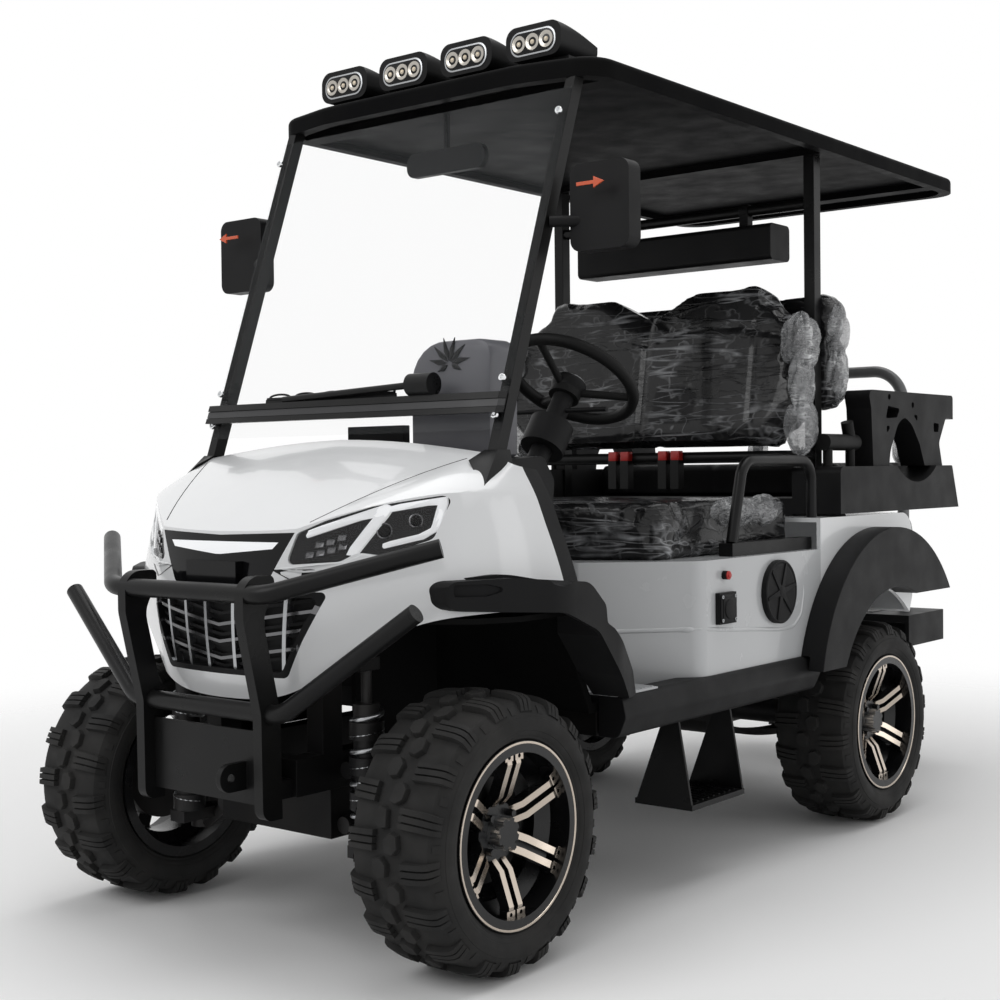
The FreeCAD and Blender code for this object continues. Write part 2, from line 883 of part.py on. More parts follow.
def rear_springs():
    """Leaf packs under the axle with their shackles, and the shocks that stand beside them."""
    top_z = d.tyre_radius - d.axle_tube_radius - d.seat_gap
    end_z = top_z + d.leaf_rise
    y0 = d.wheelbase

    def bow(z):
        left = Vector(0, y0 - d.leaf_half_length, end_z - z)
        right = Vector(0, y0 + d.leaf_half_length, end_z - z)
        return Part.Arc(left, Vector(0, y0, top_z - z), right).toShape(), left, right

    upper, a, b = bow(0)
    lower, c, e = bow(d.leaf_thickness)
    wire = Part.Wire([upper, Part.LineSegment(b, e).toShape(), lower, Part.LineSegment(c, a).toShape()])
    leaf = Part.Face(wire).extrude(Vector(d.leaf_width, 0, 0))
    leaf.translate(Vector(d.leaf_x - d.leaf_width / 2, 0, 0))
    rail_side = d.rail_spacing + d.rail_width / 2
    parts = [leaf]
    for y in (y0 - d.leaf_half_length + d.leaf_thickness, y0 + d.leaf_half_length - d.leaf_thickness):
        parts.append(cuboid(rail_side, d.leaf_x + d.leaf_width / 2, y - d.leaf_thickness,
                            y + d.leaf_thickness,
                            end_z, d.rail_low + d.leaf_thickness * 2))
    x, y, r, seat = d.rear_shock_x, y0 + d.rear_shock_behind, d.rear_shock_radius, d.rear_shock_seat
    foot_z = top_z - d.leaf_thickness / 2
    head_z = d.rail_low + d.rail_height - seat
    parts.append(cuboid(x - r, d.leaf_x, y - r, y + r, foot_z - seat / 2, foot_z + seat / 2))
    parts.append(cuboid(rail_side, x + r, y - r, y + r, head_z, head_z + seat))
    parts.append(cylinder(r, Vector(x, y, foot_z), Vector(x, y, head_z - d.rear_shock_rod_length)))
    parts.append(cylinder(d.rear_shock_rod_radius, Vector(x, y, foot_z), Vector(x, y, head_z)))
    return shape_node("rear_springs", *pair(fused(parts)))


def battery():
    """The battery as one plain block on the cross members."""
    box = block("battery", ("-battery_width / 2", "wheelbase * battery_share + " + MIDDLE,
                            "rail_low + rail_height + cross_height + floor_thickness"),
                ("battery_width", "battery_length", "battery_height"))
    nodes.append(box)
    return box


def floor_pan():
    """The floor sheet on the cross members and the toe board that climbs from it."""
    low = d.rail_low + d.rail_height + d.cross_height
    top = low + d.floor_thickness
    points = [(d.floor_front_y, low), (d.box_rear_y - d.box_wall - d.seat_gap, low),
              (d.box_rear_y - d.box_wall - d.seat_gap, top), (d.floor_front_y + d.floor_thickness, top,
                                                              d.floor_thickness),
              (d.toe_top_y + d.floor_thickness, d.toe_top_z), (d.toe_top_y, d.toe_top_z),
              (d.floor_front_y, low + d.floor_thickness / 2, d.floor_thickness)]
    sheet_metal = prism(side, points, -d.floor_half_width, d.floor_half_width)
    shape_node("floor_pan", sheet_metal)
    return sheet_metal


def pedals(floor):
    """Accelerator and brake, on arms that rise from the toe board."""
    slope = (d.floor_front_y - d.toe_top_y) / (d.toe_top_z - d.rail_low - d.rail_height - d.cross_height)
    pads = []
    for x in (d.pedal_x - d.pedal_spacing / 2, d.pedal_x + d.pedal_spacing / 2):
        low, high = d.pedal_z, d.pedal_z + d.pedal_height
        face_low = d.floor_front_y + d.floor_thickness * 2 - slope * (low - d.rail_low - d.rail_height - d.cross_height)
        face_high = face_low - slope * d.pedal_height
        points = [(face_low, low), (face_low + d.pedal_thickness, low),
                  (face_high + d.pedal_thickness, high), (face_high, high)]
        pad = prism(side, points, x - d.pedal_width / 2, x + d.pedal_width / 2)
        arm = prism(side, [(face_low - d.floor_thickness * 2, low + d.pedal_height / 2),
                           (face_low + d.pedal_thickness / 2, low + d.pedal_height / 2),
                           (face_high + d.pedal_thickness / 2,
                            high - d.pedal_thickness), (face_high - d.floor_thickness * 2,
                                                        high - d.pedal_thickness)],
                    x - d.pedal_thickness / 2, x + d.pedal_thickness / 2)
        pads.append(largest(fused([pad, arm]).cut(floor)))
    return shape_node("pedals", *pads)


def sills():
    """The step-over mouldings along both sides of the floor."""
    low = d.rail_low + d.rail_height
    outer = d.sill_outer_x
    inner = outer - d.sill_width
    points = [(inner, low), (outer - d.sill_round, low, d.sill_round),
              (outer, low + d.sill_height / 2, d.sill_round),
              (outer - d.sill_round / 2, low + d.sill_height, d.sill_round), (inner, low + d.sill_height)]
    sill = prism(front, points, d.sill_front_y, d.sill_rear_y)
    sill = sill.cut(prism(plan, seat_box_form(0), low + d.cross_height + d.floor_thickness, d.box_top_z))
    return shape_node("sills", *pair(sill))


COWL_NET_SHARES = (
    ((0, 0.065, 0.004), (0.151, 0.07, 0.004), (0.277, 0.09, 0.009), (0.378, 0.135, 0.069),
     (0.503, 0.215, 0.166), (0.654, 0.315, 0.264), (0.805, 0.453, 0.326),
     (0.94, 0.615, 0.343), (0.997, 0.84, 0.349), (1, 1.415, 0.349)),
    ((0, 0.02, 0.193), (0.159, 0.025, 0.193), (0.31, 0.05, 0.202), (0.406, 0.1, 0.246),
     (0.52, 0.19, 0.317), (0.671, 0.315, 0.391), (0.822, 0.475, 0.437),
     (0.943, 0.652, 0.45), (1, 0.902, 0.45), (0.993, 1.39, 0.45)),
    ((0, -0.01, 0.423), (0.168, -0.005, 0.423), (0.294, 0.025, 0.437), (0.369, 0.07, 0.494),
     (0.487, 0.175, 0.543), (0.621, 0.325, 0.572), (0.763, 0.49, 0.591),
     (0.898, 0.677, 0.582), (0.982, 0.94, 0.568), (0.963, 1.365, 0.568)),
    ((0, 0.07, 0.644), (0.126, 0.07, 0.644), (0.252, 0.083, 0.648), (0.364, 0.117, 0.657),
     (0.483, 0.23, 0.706), (0.604, 0.36, 0.745), (0.732, 0.5, 0.777),
     (0.844, 0.677, 0.791), (0.914, 0.915, 0.773), (0.919, 1.353, 0.724)),
    ((0, 0.34, 0.777), (0.176, 0.34, 0.775), (0.344, 0.345, 0.768), (0.503, 0.39, 0.773),
     (0.591, 0.45, 0.796), (0.68, 0.53, 0.816), (0.775, 0.65, 0.83),
     (0.856, 0.79, 0.823), (0.903, 0.953, 0.805), (0.898, 1.327, 0.777)),
    ((0, 0.665, 0.901), (0.185, 0.665, 0.897), (0.378, 0.66, 0.885), (0.612, 0.685, 0.869),
     (0.664, 0.71, 0.876), (0.721, 0.755, 0.883), (0.785, 0.835, 0.88),
     (0.839, 0.92, 0.862), (0.872, 1.002, 0.844), (0.876, 1.29, 0.827)),
    ((0, 1, 1), (0.193, 1, 0.996), (0.386, 0.995, 0.986), (0.758, 0.975, 0.933),
     (0.775, 0.983, 0.929), (0.795, 0.993, 0.919), (0.815, 1.01, 0.906),
     (0.839, 1.03, 0.892), (0.861, 1.077, 0.876), (0.852, 1.265, 0.865)),
)


def cowl_pole(share):
    """A control point of the cowl's left half, from shares of its half width, its length and its height."""
    return Vector(d.cowl_half_width * share[0], (d.nose_front + d.hood_back_y) * share[1] - d.nose_front,
                  (d.hood_back_z - d.nose_low_z) * share[2] + d.nose_low_z)


def cowl_poles(inset):
    """The net of control points, each moved inward by the inset along the net's own normal."""
    net = [[cowl_pole(share) for share in row] for row in COWL_NET_SHARES]
    moved = []
    for i, row in enumerate(net):
        line = []
        for j, pole in enumerate(row):
            across = row[min(j + 1, len(row) - 1)] - (row[j - 1] if j else Vector(-row[1].x, row[1].y,
                                                                                  row[1].z))
            upward = net[min(i + 1, len(net) - 1)][j] - net[max(i - 1, 0)][j]
            line.append(pole - across.cross(upward).normalize() * inset)
        moved.append(line)
    return moved


def knot_line(count):
    """Evenly spaced knots and their counts for a clamped cubic with that many poles."""
    spans = count - 3
    return [i / spans for i in range(spans + 1)], [4] + [1] * (spans - 1) + [4]


def cubic_patch(rows):
    knots_u, counts_u = knot_line(len(rows))
    knots_v, counts_v = knot_line(len(rows[0]))
    surface = Part.BSplineSurface()
    surface.buildFromPolesMultsKnots(rows, counts_u, counts_v, knots_u, knots_v, False, False, 3, 3)
    return surface.toShape()


def cubic_curve(poles):
    knots, counts = knot_line(len(poles))
    curve = Part.BSplineCurve()
    curve.buildFromPolesMultsKnots(poles, counts, knots, False, 3)
    return curve.toShape()


def cowl_layer(outer, inner):
    """The left and right halves of the cowl as one sewn shell solid, between two insets from its outer skin. The
    net is parted at the hood's lip and along the crease beside the hood, so both stay sharp."""
    faces = []
    lip = crease = 3
    nets = [cowl_poles(outer), cowl_poles(inner)]
    for side_sign in (1, -1):
        rims = []
        for net in nets:
            net = [[Vector(p.x * side_sign, p.y, p.z) for p in row] for row in net]
            for rows in (net[:lip + 1], net[lip:]):
                faces.append(cubic_patch([row[:crease + 1] for row in rows]))
                faces.append(cubic_patch([row[crease:] for row in rows]))
            rear = [row[-1] for row in net]
            borders = (net[0][:crease + 1], net[0][crease:], rear[:lip + 1], rear[lip:],
                       net[-1][:crease + 1], net[-1][crease:])
            rims.append([cubic_curve(poles) for poles in borders])
        faces += [Part.makeRuledSurface(a, b) for a, b in zip(*rims)]
    shell = Part.makeShell(faces)
    shell.sewShape()
    solid = Part.makeSolid(shell)
    return solid if solid.Volume > 0 else solid.reversed()


def cowl_profile(extra):
    """The side view of the cowl up to its sloping rear edge, moved rearward by extra."""
    beyond = 2 * d.overrun
    ahead = -d.nose_front - beyond
    return [(ahead, d.nose_low_z - beyond), (d.cowl_rear_low_y + extra, d.nose_low_z - beyond),
            (d.cowl_rear_low_y + extra, d.cowl_low_z - beyond),
            (d.cowl_rear_mid_y + extra, d.cowl_rear_mid_z, d.cowl_rear_round),
            (d.cowl_rear_top_y + extra, d.cowl_rear_top_z, d.cowl_rear_round / 4),
            (d.hood_back_y + d.overrun + extra, d.hood_back_z + beyond), (ahead, d.hood_back_z + beyond)]


LAMP_SHARES = ((0, 0, 0.04), (0.38, 0.05, 0.1), (0.48, 0.18, 0.1), (0.64, 0.13, 0.1), (0.93, 0.36, 0.06),
               (1, 1, 0.05), (0.54, 0.83, 0.3), (0.25, 0.63, 0.3), (0.08, 0.46, 0.04))
INNER_GUIDE_SHARES = ((0.13, 0.38, 0.01), (0.15, 0.5, 0.01), (0.62, 0.86, 0.01), (0.67, 0.8, 0.02),
                      (0.47, 0.13, 0.01),
                      (0.4, 0.15, 0.01), (0.56, 0.7, 0.01))
OUTER_GUIDE_SHARES = ((0.65, 0.84, 0.01), (0.965, 0.96, 0.02), (0.95, 0.5, 0.12), (0.86, 0.36, 0.08),
                      (0.63, 0.23, 0.01),
                      (0.63, 0.31, 0.01), (0.84, 0.43, 0.05), (0.905, 0.52, 0.08), (0.92, 0.86,
                                                                                    0.01), (0.65, 0.75, 0.01))


def lamp_points(shares):
    """An outline on the left lamp, from shares of its width and height, the corner radius being one of its width."""
    return [(d.lamp_inner_x + u * d.lamp_width, d.lamp_low_z + v * d.lamp_height, r * d.lamp_width) for u,
            v, r in shares]


def nose_prism(points):
    """A prism through the nose from ahead of it, with the given outline in the front view."""
    return prism(front, points, -d.nose_front - 2 * d.overrun, d.hood_back_y)


def headlamp():
    """The left lamp: its housing sunk below the skin, with the two light guides that stand up from it."""
    housing = nose_prism(lamp_points(LAMP_SHARES)).common(cowl_layer(d.lamp_recess, d.lamp_depth))
    guides = [nose_prism(lamp_points(shares)) for shares in (INNER_GUIDE_SHARES, OUTER_GUIDE_SHARES)]
    guides = Part.makeCompound(guides).common(cowl_layer(d.lamp_recess / 3, d.lamp_recess * 2))
    return fused([housing] + guides.Solids)


def even_sides(half):
    """The right half of an outline, mirrored to make the whole."""
    return half + [(-p[0],) + tuple(p[1:]) for p in reversed(half)]


def grille_bar(z, width):
    """One bar across the grille that rises from the middle to both sides."""
    reach = d.grille_top_half_width
    rise = reach * d.grille_row_rise_share
    return nose_prism([(0, z), (reach, z + rise), (reach, z + rise + width), (0, z + width),
                       (-reach, z + rise + width),
                       (-reach, z + rise)])


def grille_form(hole):
    """The grille: a border round its opening, a back wall, dark slats, three rows of bars and the uprights."""
    w = d.grille_border
    opening = nose_prism(even_sides([(d.grille_low_half_width - w, d.grille_low_z + w, d.overrun),
                                     (d.grille_top_half_width - 1.5 * w, d.grille_top_z - w, d.overrun / 2)]))
    border = cowl_layer(0, d.grille_depth).common(hole).cut(opening)
    back = cowl_layer(d.grille_back, d.grille_depth).common(opening)
    slats = [grille_bar(d.grille_low_z + (i + 0.5) * d.grille_slat_step, d.grille_slat_width)
             for i in range(int(d.grille_slats))]
    rows = [grille_bar(d.grille_row_z + i * d.grille_row_step,
                       d.grille_row_width) for i in range(int(d.grille_rows))]
    half = d.grille_upright_width / 2
    lean = d.grille_low_half_width / d.grille_top_half_width * 1.35
    uprights = []
    for i in (-2.5, -1.5, -0.5, 0.5, 1.5, 2.5):
        top = i * d.grille_upright_step + half * math.copysign(2, i)
        low = top * min(lean, 1)
        uprights.append(nose_prism([(low - half, d.grille_low_z), (low + half, d.grille_low_z),
                                    (top + half, d.grille_top_z),
                                    (top - half, d.grille_top_z)]))
    fine = fused(slats).common(opening).common(cowl_layer(2 * d.grille_recess,
                                                          d.grille_back + d.grille_recess / 2))
    bold = fused(rows + uprights).common(opening).common(cowl_layer(d.grille_recess,
                                                                    d.grille_back + d.grille_recess / 2))
    return largest(fused([border, back] + fine.Solids + bold.Solids))


def cowl_parts():
    """The white cowl, the black strip behind it and the pieces let into its nose."""
    full = cowl_layer(0, d.cowl_wall)
    reach = d.cowl_half_width + d.overrun
    main = prism(side, cowl_profile(0), -reach, reach)
    longer = prism(side, cowl_profile(d.cowl_trim_width), -reach, reach)
    strip = full.common(longer).cut(main).cut(Part.makeCompound(pair(windshield_post())))
    lamp_hole = nose_prism(lamp_points(LAMP_SHARES))
    grille_hole = nose_prism(even_sides([(d.grille_low_half_width, d.grille_low_z, d.overrun),
                                         (d.grille_top_half_width, d.grille_top_z, d.overrun / 2)]))
    band_half = [(d.band_low_half_width, d.band_low_z, d.overrun / 2), (d.band_half_width, d.band_high_z)]
    band_hole = nose_prism([(-d.band_low_half_width, d.band_low_z, d.overrun / 2)] + band_half
                           + [(0, d.band_high_z - d.band_sag), (-d.band_half_width, d.band_high_z)])
    band = cowl_layer(0, d.band_depth).common(band_hole)
    w, z, h = d.light_strip_half_width, d.light_strip_z, d.light_strip_height
    glow = nose_prism([(-w, z), (w, z), (w - h, z - h), (0, z - h - d.light_strip_sag, w), (-w + h, z - h)])
    light = band.common(glow)
    band = band.cut(glow)
    plate_y = -d.nose_front - d.plate_thickness
    plate = cuboid(-d.plate_half_width, d.plate_half_width, plate_y, plate_y + d.overrun,
                   d.plate_z - d.plate_height / 2, d.plate_z + d.plate_height / 2).cut(cowl_layer(0,
                                                                                                  2 * d.overrun))
    skin = full.common(main).cut(Part.makeCompound([lamp_hole, mirrored(lamp_hole), grille_hole, band_hole]))
    shape_node("front_cowl", *skin.Solids)
    shape_node("cowl_rear_trim", *strip.Solids)
    shape_node("headlamps", *pair(headlamp()))
    shape_node("grille", grille_form(grille_hole))
    shape_node("nose_band", *(band.Solids + plate.Solids))
    shape_node("light_strip", *light.Solids)
    return full


def dash_node(cowl):
    """The dash moulding across the cowl, hollow below, with two cup wells and the display block."""
    wall = d.dash_wall
    top, low = d.dash_top_z, d.dash_low_z
    y0, y1 = d.dash_front_y, d.dash_rear_y
    points = [(y0, top - wall), (y1 - 3 * wall, top, 2 * wall), (y1, top - 4 * wall, 2 * wall),
              (y1 - 2 * wall, low), (y0, low)]
    inside = [(y0 + wall, top - 2 * wall), (y1 - 4 * wall, top - wall), (y1 - wall, top - 5 * wall),
              (y1 - 3 * wall, low - wall), (y0 + wall, low - wall)]
    reach = d.dash_half_width
    parts = [prism(side, points, -reach, reach).cut(prism(side, inside, -reach + wall, reach - wall))]
    wells = []
    for x in (-d.cup_x, d.cup_x):
        rim, floor = Vector(x, d.cup_y, top + d.overrun), Vector(x, d.cup_y, top - d.cup_depth)
        parts.append(cylinder(d.cup_radius + d.cup_wall, floor - Vector(0, 0, d.cup_wall),
                              Vector(x, d.cup_y, top - wall)))
        wells.append(cylinder(d.cup_radius, floor, rim))
    half = d.display_half_width
    parts.append(cuboid(-half, half, d.display_y, d.display_y + d.display_depth, top - wall,
                        top + d.display_height))
    return shape_node("dashboard", largest(fused(parts).cut(Part.makeCompound(wells)).cut(cowl)))


def windshield_line(y_offset, low_z, high_z, depth):
    """A strip along the windshield's slope, as a side outline between two heights."""
    lean = (d.post_top_y - d.post_foot_y) / (d.roof_top_z - d.roof_height - d.post_foot_z)
    low_y = d.post_foot_y + (low_z - d.post_foot_z) * lean + y_offset
    high_y = d.post_foot_y + (high_z - d.post_foot_z) * lean + y_offset
    return [(low_y, low_z), (low_y + depth, low_z), (high_y + depth, high_z), (high_y, high_z)]


def windshield_post():
    """The left post of the windshield, from its foot on the cowl up to the roof."""
    return prism(side, windshield_line(0, d.post_foot_z, d.roof_top_z - d.roof_height, d.post_depth),
                 d.post_x - d.post_width / 2, d.post_x + d.post_width / 2)


def post_boot(cowl):
    """The boot over the left post's foot: a low pyramid on the cowl's shoulder."""
    m = d.boot_top_margin
    x0, x1 = d.post_x - d.post_width / 2 - m, d.post_x + d.post_width / 2 + m
    y0, y1 = d.post_foot_y - m, d.post_foot_y + d.post_depth + m
    top = [Vector(x0, y0, d.post_foot_z), Vector(x1, y0, d.post_foot_z), Vector(x1, y1, d.post_foot_z),
           Vector(x0, y1, d.post_foot_z)]
    inner = Vector(x0, d.post_foot_y - d.boot_inner_lead, d.post_foot_z - d.boot_inner_drop)
    ahead = Vector(x1 + d.boot_front_reach, d.post_foot_y - d.boot_front_lead,
                   d.post_foot_z - d.boot_low_drop)
    outer = Vector(x1 + d.boot_outer_reach, d.post_foot_y, d.post_foot_z - d.boot_tip_drop)
    low = [inner, ahead, outer, inner + outer - ahead]
    form = Part.makeLoft([Part.makePolygon(top + top[:1]), Part.makePolygon(low + low[:1])], True, True)
    return largest(form.cut(cowl))


def windshield(cowl):
    """The two posts with their boots, the panes and the hinge bar between them."""
    ceiling = d.roof_top_z - d.roof_height
    post = windshield_post()
    ahead = -d.pane_thickness
    upper = prism(side, windshield_line(ahead, d.hinge_low_z + d.hinge_height, ceiling - d.pane_top_margin,
                                        d.pane_thickness),
                  -d.pane_half_width, d.pane_half_width)
    lower = prism(side, windshield_line(ahead, d.lower_pane_low_z, d.hinge_low_z, d.pane_thickness),
                  -d.pane_half_width, d.pane_half_width)
    shape_node("windshield_panes", upper, lower)
    bar = prism(side, windshield_line(-d.hinge_depth, d.hinge_low_z, d.hinge_low_z + d.hinge_height,
                                      d.hinge_depth),
                -d.pane_half_width, d.pane_half_width)
    return shape_node("windshield_frame", fused([bar] + pair(post) + pair(post_boot(cowl))))


def roof():
    """A shallow tray turned down at its edges, bowed at the front, with cross ribs below."""
    low, high = d.roof_top_z - d.roof_height, d.roof_top_z
    half, bow = d.roof_half_width, d.roof_bow
    def plan_of(inset):
        w = half - inset
        y0, y1 = d.roof_front_y + inset, d.roof_rear_y - inset
        return [(-w, y0 + bow, d.roof_corner), (-w * 0.6, y0, d.roof_corner * 3),
                (w * 0.6, y0, d.roof_corner * 3), (w, y0 + bow, d.roof_corner),
                (w, y1, d.roof_corner), (-w, y1, d.roof_corner)]
    shell = prism(plan, plan_of(0), low, high)
    shell = rounded(shell, d.roof_edge_round, lambda c: c.z > high - 1e-3)
    shell = shell.cut(prism(plan, plan_of(d.roof_rib_width), low - d.overrun,
                            high - d.roof_wall - d.roof_edge_round))
    field = [(-half + d.channel_inset, d.pod_front_y + d.pod_depth + d.channel_width, d.roof_corner),
             (half - d.channel_inset, d.pod_front_y + d.pod_depth + d.channel_width, d.roof_corner),
             (half - d.channel_inset, d.roof_rear_y - d.channel_inset, d.roof_corner),
             (-half + d.channel_inset, d.roof_rear_y - d.channel_inset, d.roof_corner)]
    w = d.channel_width
    grown = [(p[0] + math.copysign(w, p[0]), p[1] + (-w if i < 2 else w), d.roof_corner + w) for i,
             p in enumerate(field)]
    channel = prism(plan, grown, high - d.channel_depth, high + d.overrun)
    shell = shell.cut(channel.cut(prism(plan, field, high - 2 * d.channel_depth, high + 2 * d.overrun)))
    ribs = []
    for y in (d.roof_front_y + d.roof_bow * 3, d.rear_post_y, d.roof_rear_y - d.roof_bow * 4):
        ribs.append(cuboid(-half + d.roof_rib_width, half - d.roof_rib_width, y - d.roof_rib_width,
                           y + d.roof_rib_width,
                           low, high - d.roof_wall - d.roof_edge_round))
    return shape_node("roof", fused([shell] + ribs))


def lamp_bar():
    """Four lamp pods on a low bar across the front of the roof."""
    parts = [cuboid(-d.bar_half_width, d.bar_half_width, d.pod_front_y + d.pod_depth - d.bar_depth * 2,
                    d.pod_front_y + d.pod_depth - d.bar_depth,
                    d.roof_top_z, d.roof_top_z + d.bar_height)]
    for i in range(4):
        x = (i - 1.5) * d.pod_spacing
        half = d.pod_width / 2
        low = d.roof_top_z + d.bar_height
        pod = prism(front, [(x - half, low, d.pod_round), (x + half, low, d.pod_round),
                            (x + half, low + d.pod_tall, d.pod_round), (x - half, low + d.pod_tall,
                                                                        d.pod_round)],
                    d.pod_front_y, d.pod_front_y + d.pod_depth)
        slope = prism(side, [(d.pod_front_y, low + d.pod_tall), (d.pod_front_y + d.pod_depth,
                                                                 low + d.pod_tall / 2), (d.pod_front_y + d.pod_depth, low + 2 * d.pod_tall),
                             (d.pod_front_y, low + 2 * d.pod_tall)], x - half, x + half)
        parts.append(pod.cut(slope))
    return shape_node("lamp_bar", fused(parts))


def rear_posts():
    """Roof posts behind the front seat with the tube that joins them, and the sound bar hung from it."""
    top = d.roof_top_z - d.roof_height
    half_w, half_d = d.rear_post_width / 2, d.rear_post_depth / 2
    posts = [cuboid(x - half_w, x + half_w, d.rear_post_y - half_d, d.rear_post_y + half_d,
                    d.base_top_z - d.base_tray_height * 2 - d.seat_frame_tube * 2, top)
             for x in (-d.rear_post_x, d.rear_post_x)]
    bar = cylinder(d.rear_cross_radius, Vector(-d.rear_post_x, d.rear_post_y, d.rear_cross_z),
                   Vector(d.rear_post_x, d.rear_post_y, d.rear_cross_z))
    frame = fused(posts + [bar])
    shape_node("rear_posts", frame)
    y0, y1 = d.rear_post_y - d.sound_bar_depth / 2, d.rear_post_y + d.sound_bar_depth / 2
    low, high = d.sound_bar_top_z - d.sound_bar_height, d.sound_bar_top_z
    r = d.sound_bar_round
    body = prism(side, [(y0, low, r), (y1, low, r), (y1, high, r), (y0, high, r)], -d.sound_bar_half_width,
                 d.sound_bar_half_width)
    hangers = []
    for x in (-d.sound_bar_strap_x, d.sound_bar_strap_x):
        ring = cylinder(d.rear_cross_radius + d.sound_bar_strap_thickness,
                        Vector(x, d.rear_post_y, d.rear_cross_z), Vector(x + d.sound_bar_strap_width,
                                                                         d.rear_post_y, d.rear_cross_z))
        ring = ring.fuse(cuboid(x, x + d.sound_bar_strap_width, d.rear_post_y - d.rear_cross_radius,
                                d.rear_post_y + d.rear_cross_radius, high, d.rear_cross_z))
        hangers.append(ring)
    bore = cylinder(d.rear_cross_radius, Vector(-d.rear_post_x, d.rear_post_y, d.rear_cross_z),
                    Vector(d.rear_post_x, d.rear_post_y, d.rear_cross_z))
    return shape_node("sound_bar", fused([body] + hangers).cut(bore))


def mirrors():
    """Side mirrors on arms clamped to the windshield posts, and the inside mirror under the roof."""
    low, high = d.mirror_low_z, d.mirror_low_z + d.mirror_height
    x0, x1 = d.mirror_inner_x, d.mirror_inner_x + d.mirror_width
    r = d.mirror_round
    head = prism(front, [(x0, low, r), (x1, low, r), (x1, high, r), (x0, high, r)],
                 d.mirror_y - d.mirror_depth / 2, d.mirror_y + d.mirror_depth / 2)
    lean = (d.post_top_y - d.post_foot_y) / (d.roof_top_z - d.roof_height - d.post_foot_z)
    post_y = d.post_foot_y + (d.mirror_arm_z - d.post_foot_z) * lean + d.post_depth / 2
    arm = cylinder(d.mirror_arm_radius, Vector(d.post_x + d.post_width / 2, post_y, d.mirror_arm_z),
                   Vector(x0 + d.mirror_width / 4, d.mirror_y, d.mirror_arm_z))
    post = prism(side, windshield_line(0, d.post_foot_z, d.roof_top_z - d.roof_height, d.post_depth),
                 d.post_x - d.post_width / 2, d.post_x + d.post_width / 2)
    side_mirror = fused([head, arm]).cut(post)
    top = d.roof_top_z - d.roof_height
    z0, z1 = d.inside_mirror_z - d.inside_mirror_height / 2, d.inside_mirror_z + d.inside_mirror_height / 2
    y = d.inside_mirror_y
    glass = prism(front, [(-d.inside_mirror_half_width, z0, r), (d.inside_mirror_half_width, z0, r),
                          (d.inside_mirror_half_width, z1, r), (-d.inside_mirror_half_width, z1, r)],
                  y, y + d.inside_mirror_depth)
    stem = cylinder(d.inside_mirror_stem_radius,
                    Vector(0, y + d.inside_mirror_depth / 2, d.inside_mirror_z), Vector(0,
                                                                                        y + d.inside_mirror_depth / 2, top))
    return shape_node("mirrors", *pair(side_mirror), fused([glass, stem]))


def seat_box_form(inset):
    """The plan of the seat box: narrow at the foot well, then out along oblique corners to the full width."""
    w, f = d.box_half_width - inset, d.box_front_half_width - inset * 0.5
    r = d.box_round
    half = [(f, d.box_front_y + inset, r), (w, d.box_corner_y + inset * 0.5, r), (w, d.box_rear_y)]
    return half + [(-p[0],) + p[1:] for p in reversed(half)]


def lid_hinge_lugs(y, z, foot_z):
    """The fixed halves of a seat's two hinges: a pin along X between two lugs."""
    parts = []
    for x in (-d.lid_hinge_x, d.lid_hinge_x):
        half = d.lid_hinge_length / 2 + d.lid_lug_width
        parts.append(cylinder(d.lid_pin_radius, Vector(x - half, y, z), Vector(x + half, y, z)))
        for low in (x - half, x + half - d.lid_lug_width):
            parts.append(cuboid(low, low + d.lid_lug_width, y - d.lid_lug_reach, y + d.lid_lug_reach,
                                foot_z, z + d.lid_pin_radius))
    return parts


def lid_hinge_barrels(y, z, leaf_y, leaf_low, leaf_high):
    """The moving halves: a barrel round each pin, on a leaf that runs to the seat."""
    parts = []
    for x in (-d.lid_hinge_x, d.lid_hinge_x):
        half = d.lid_hinge_length / 2 - d.lid_hinge_gap
        low, high = min(y, leaf_y), max(y, leaf_y)
        barrel = cylinder(d.lid_barrel_radius, Vector(x - half, y, z), Vector(x + half, y, z))
        barrel = barrel.fuse(cuboid(x - half, x + half, low, high, leaf_low, leaf_high))
        bore = cylinder(d.lid_pin_radius + d.lid_hinge_gap, Vector(x - half, y, z), Vector(x + half, y, z))
        parts.append(barrel.cut(bore))
    return parts


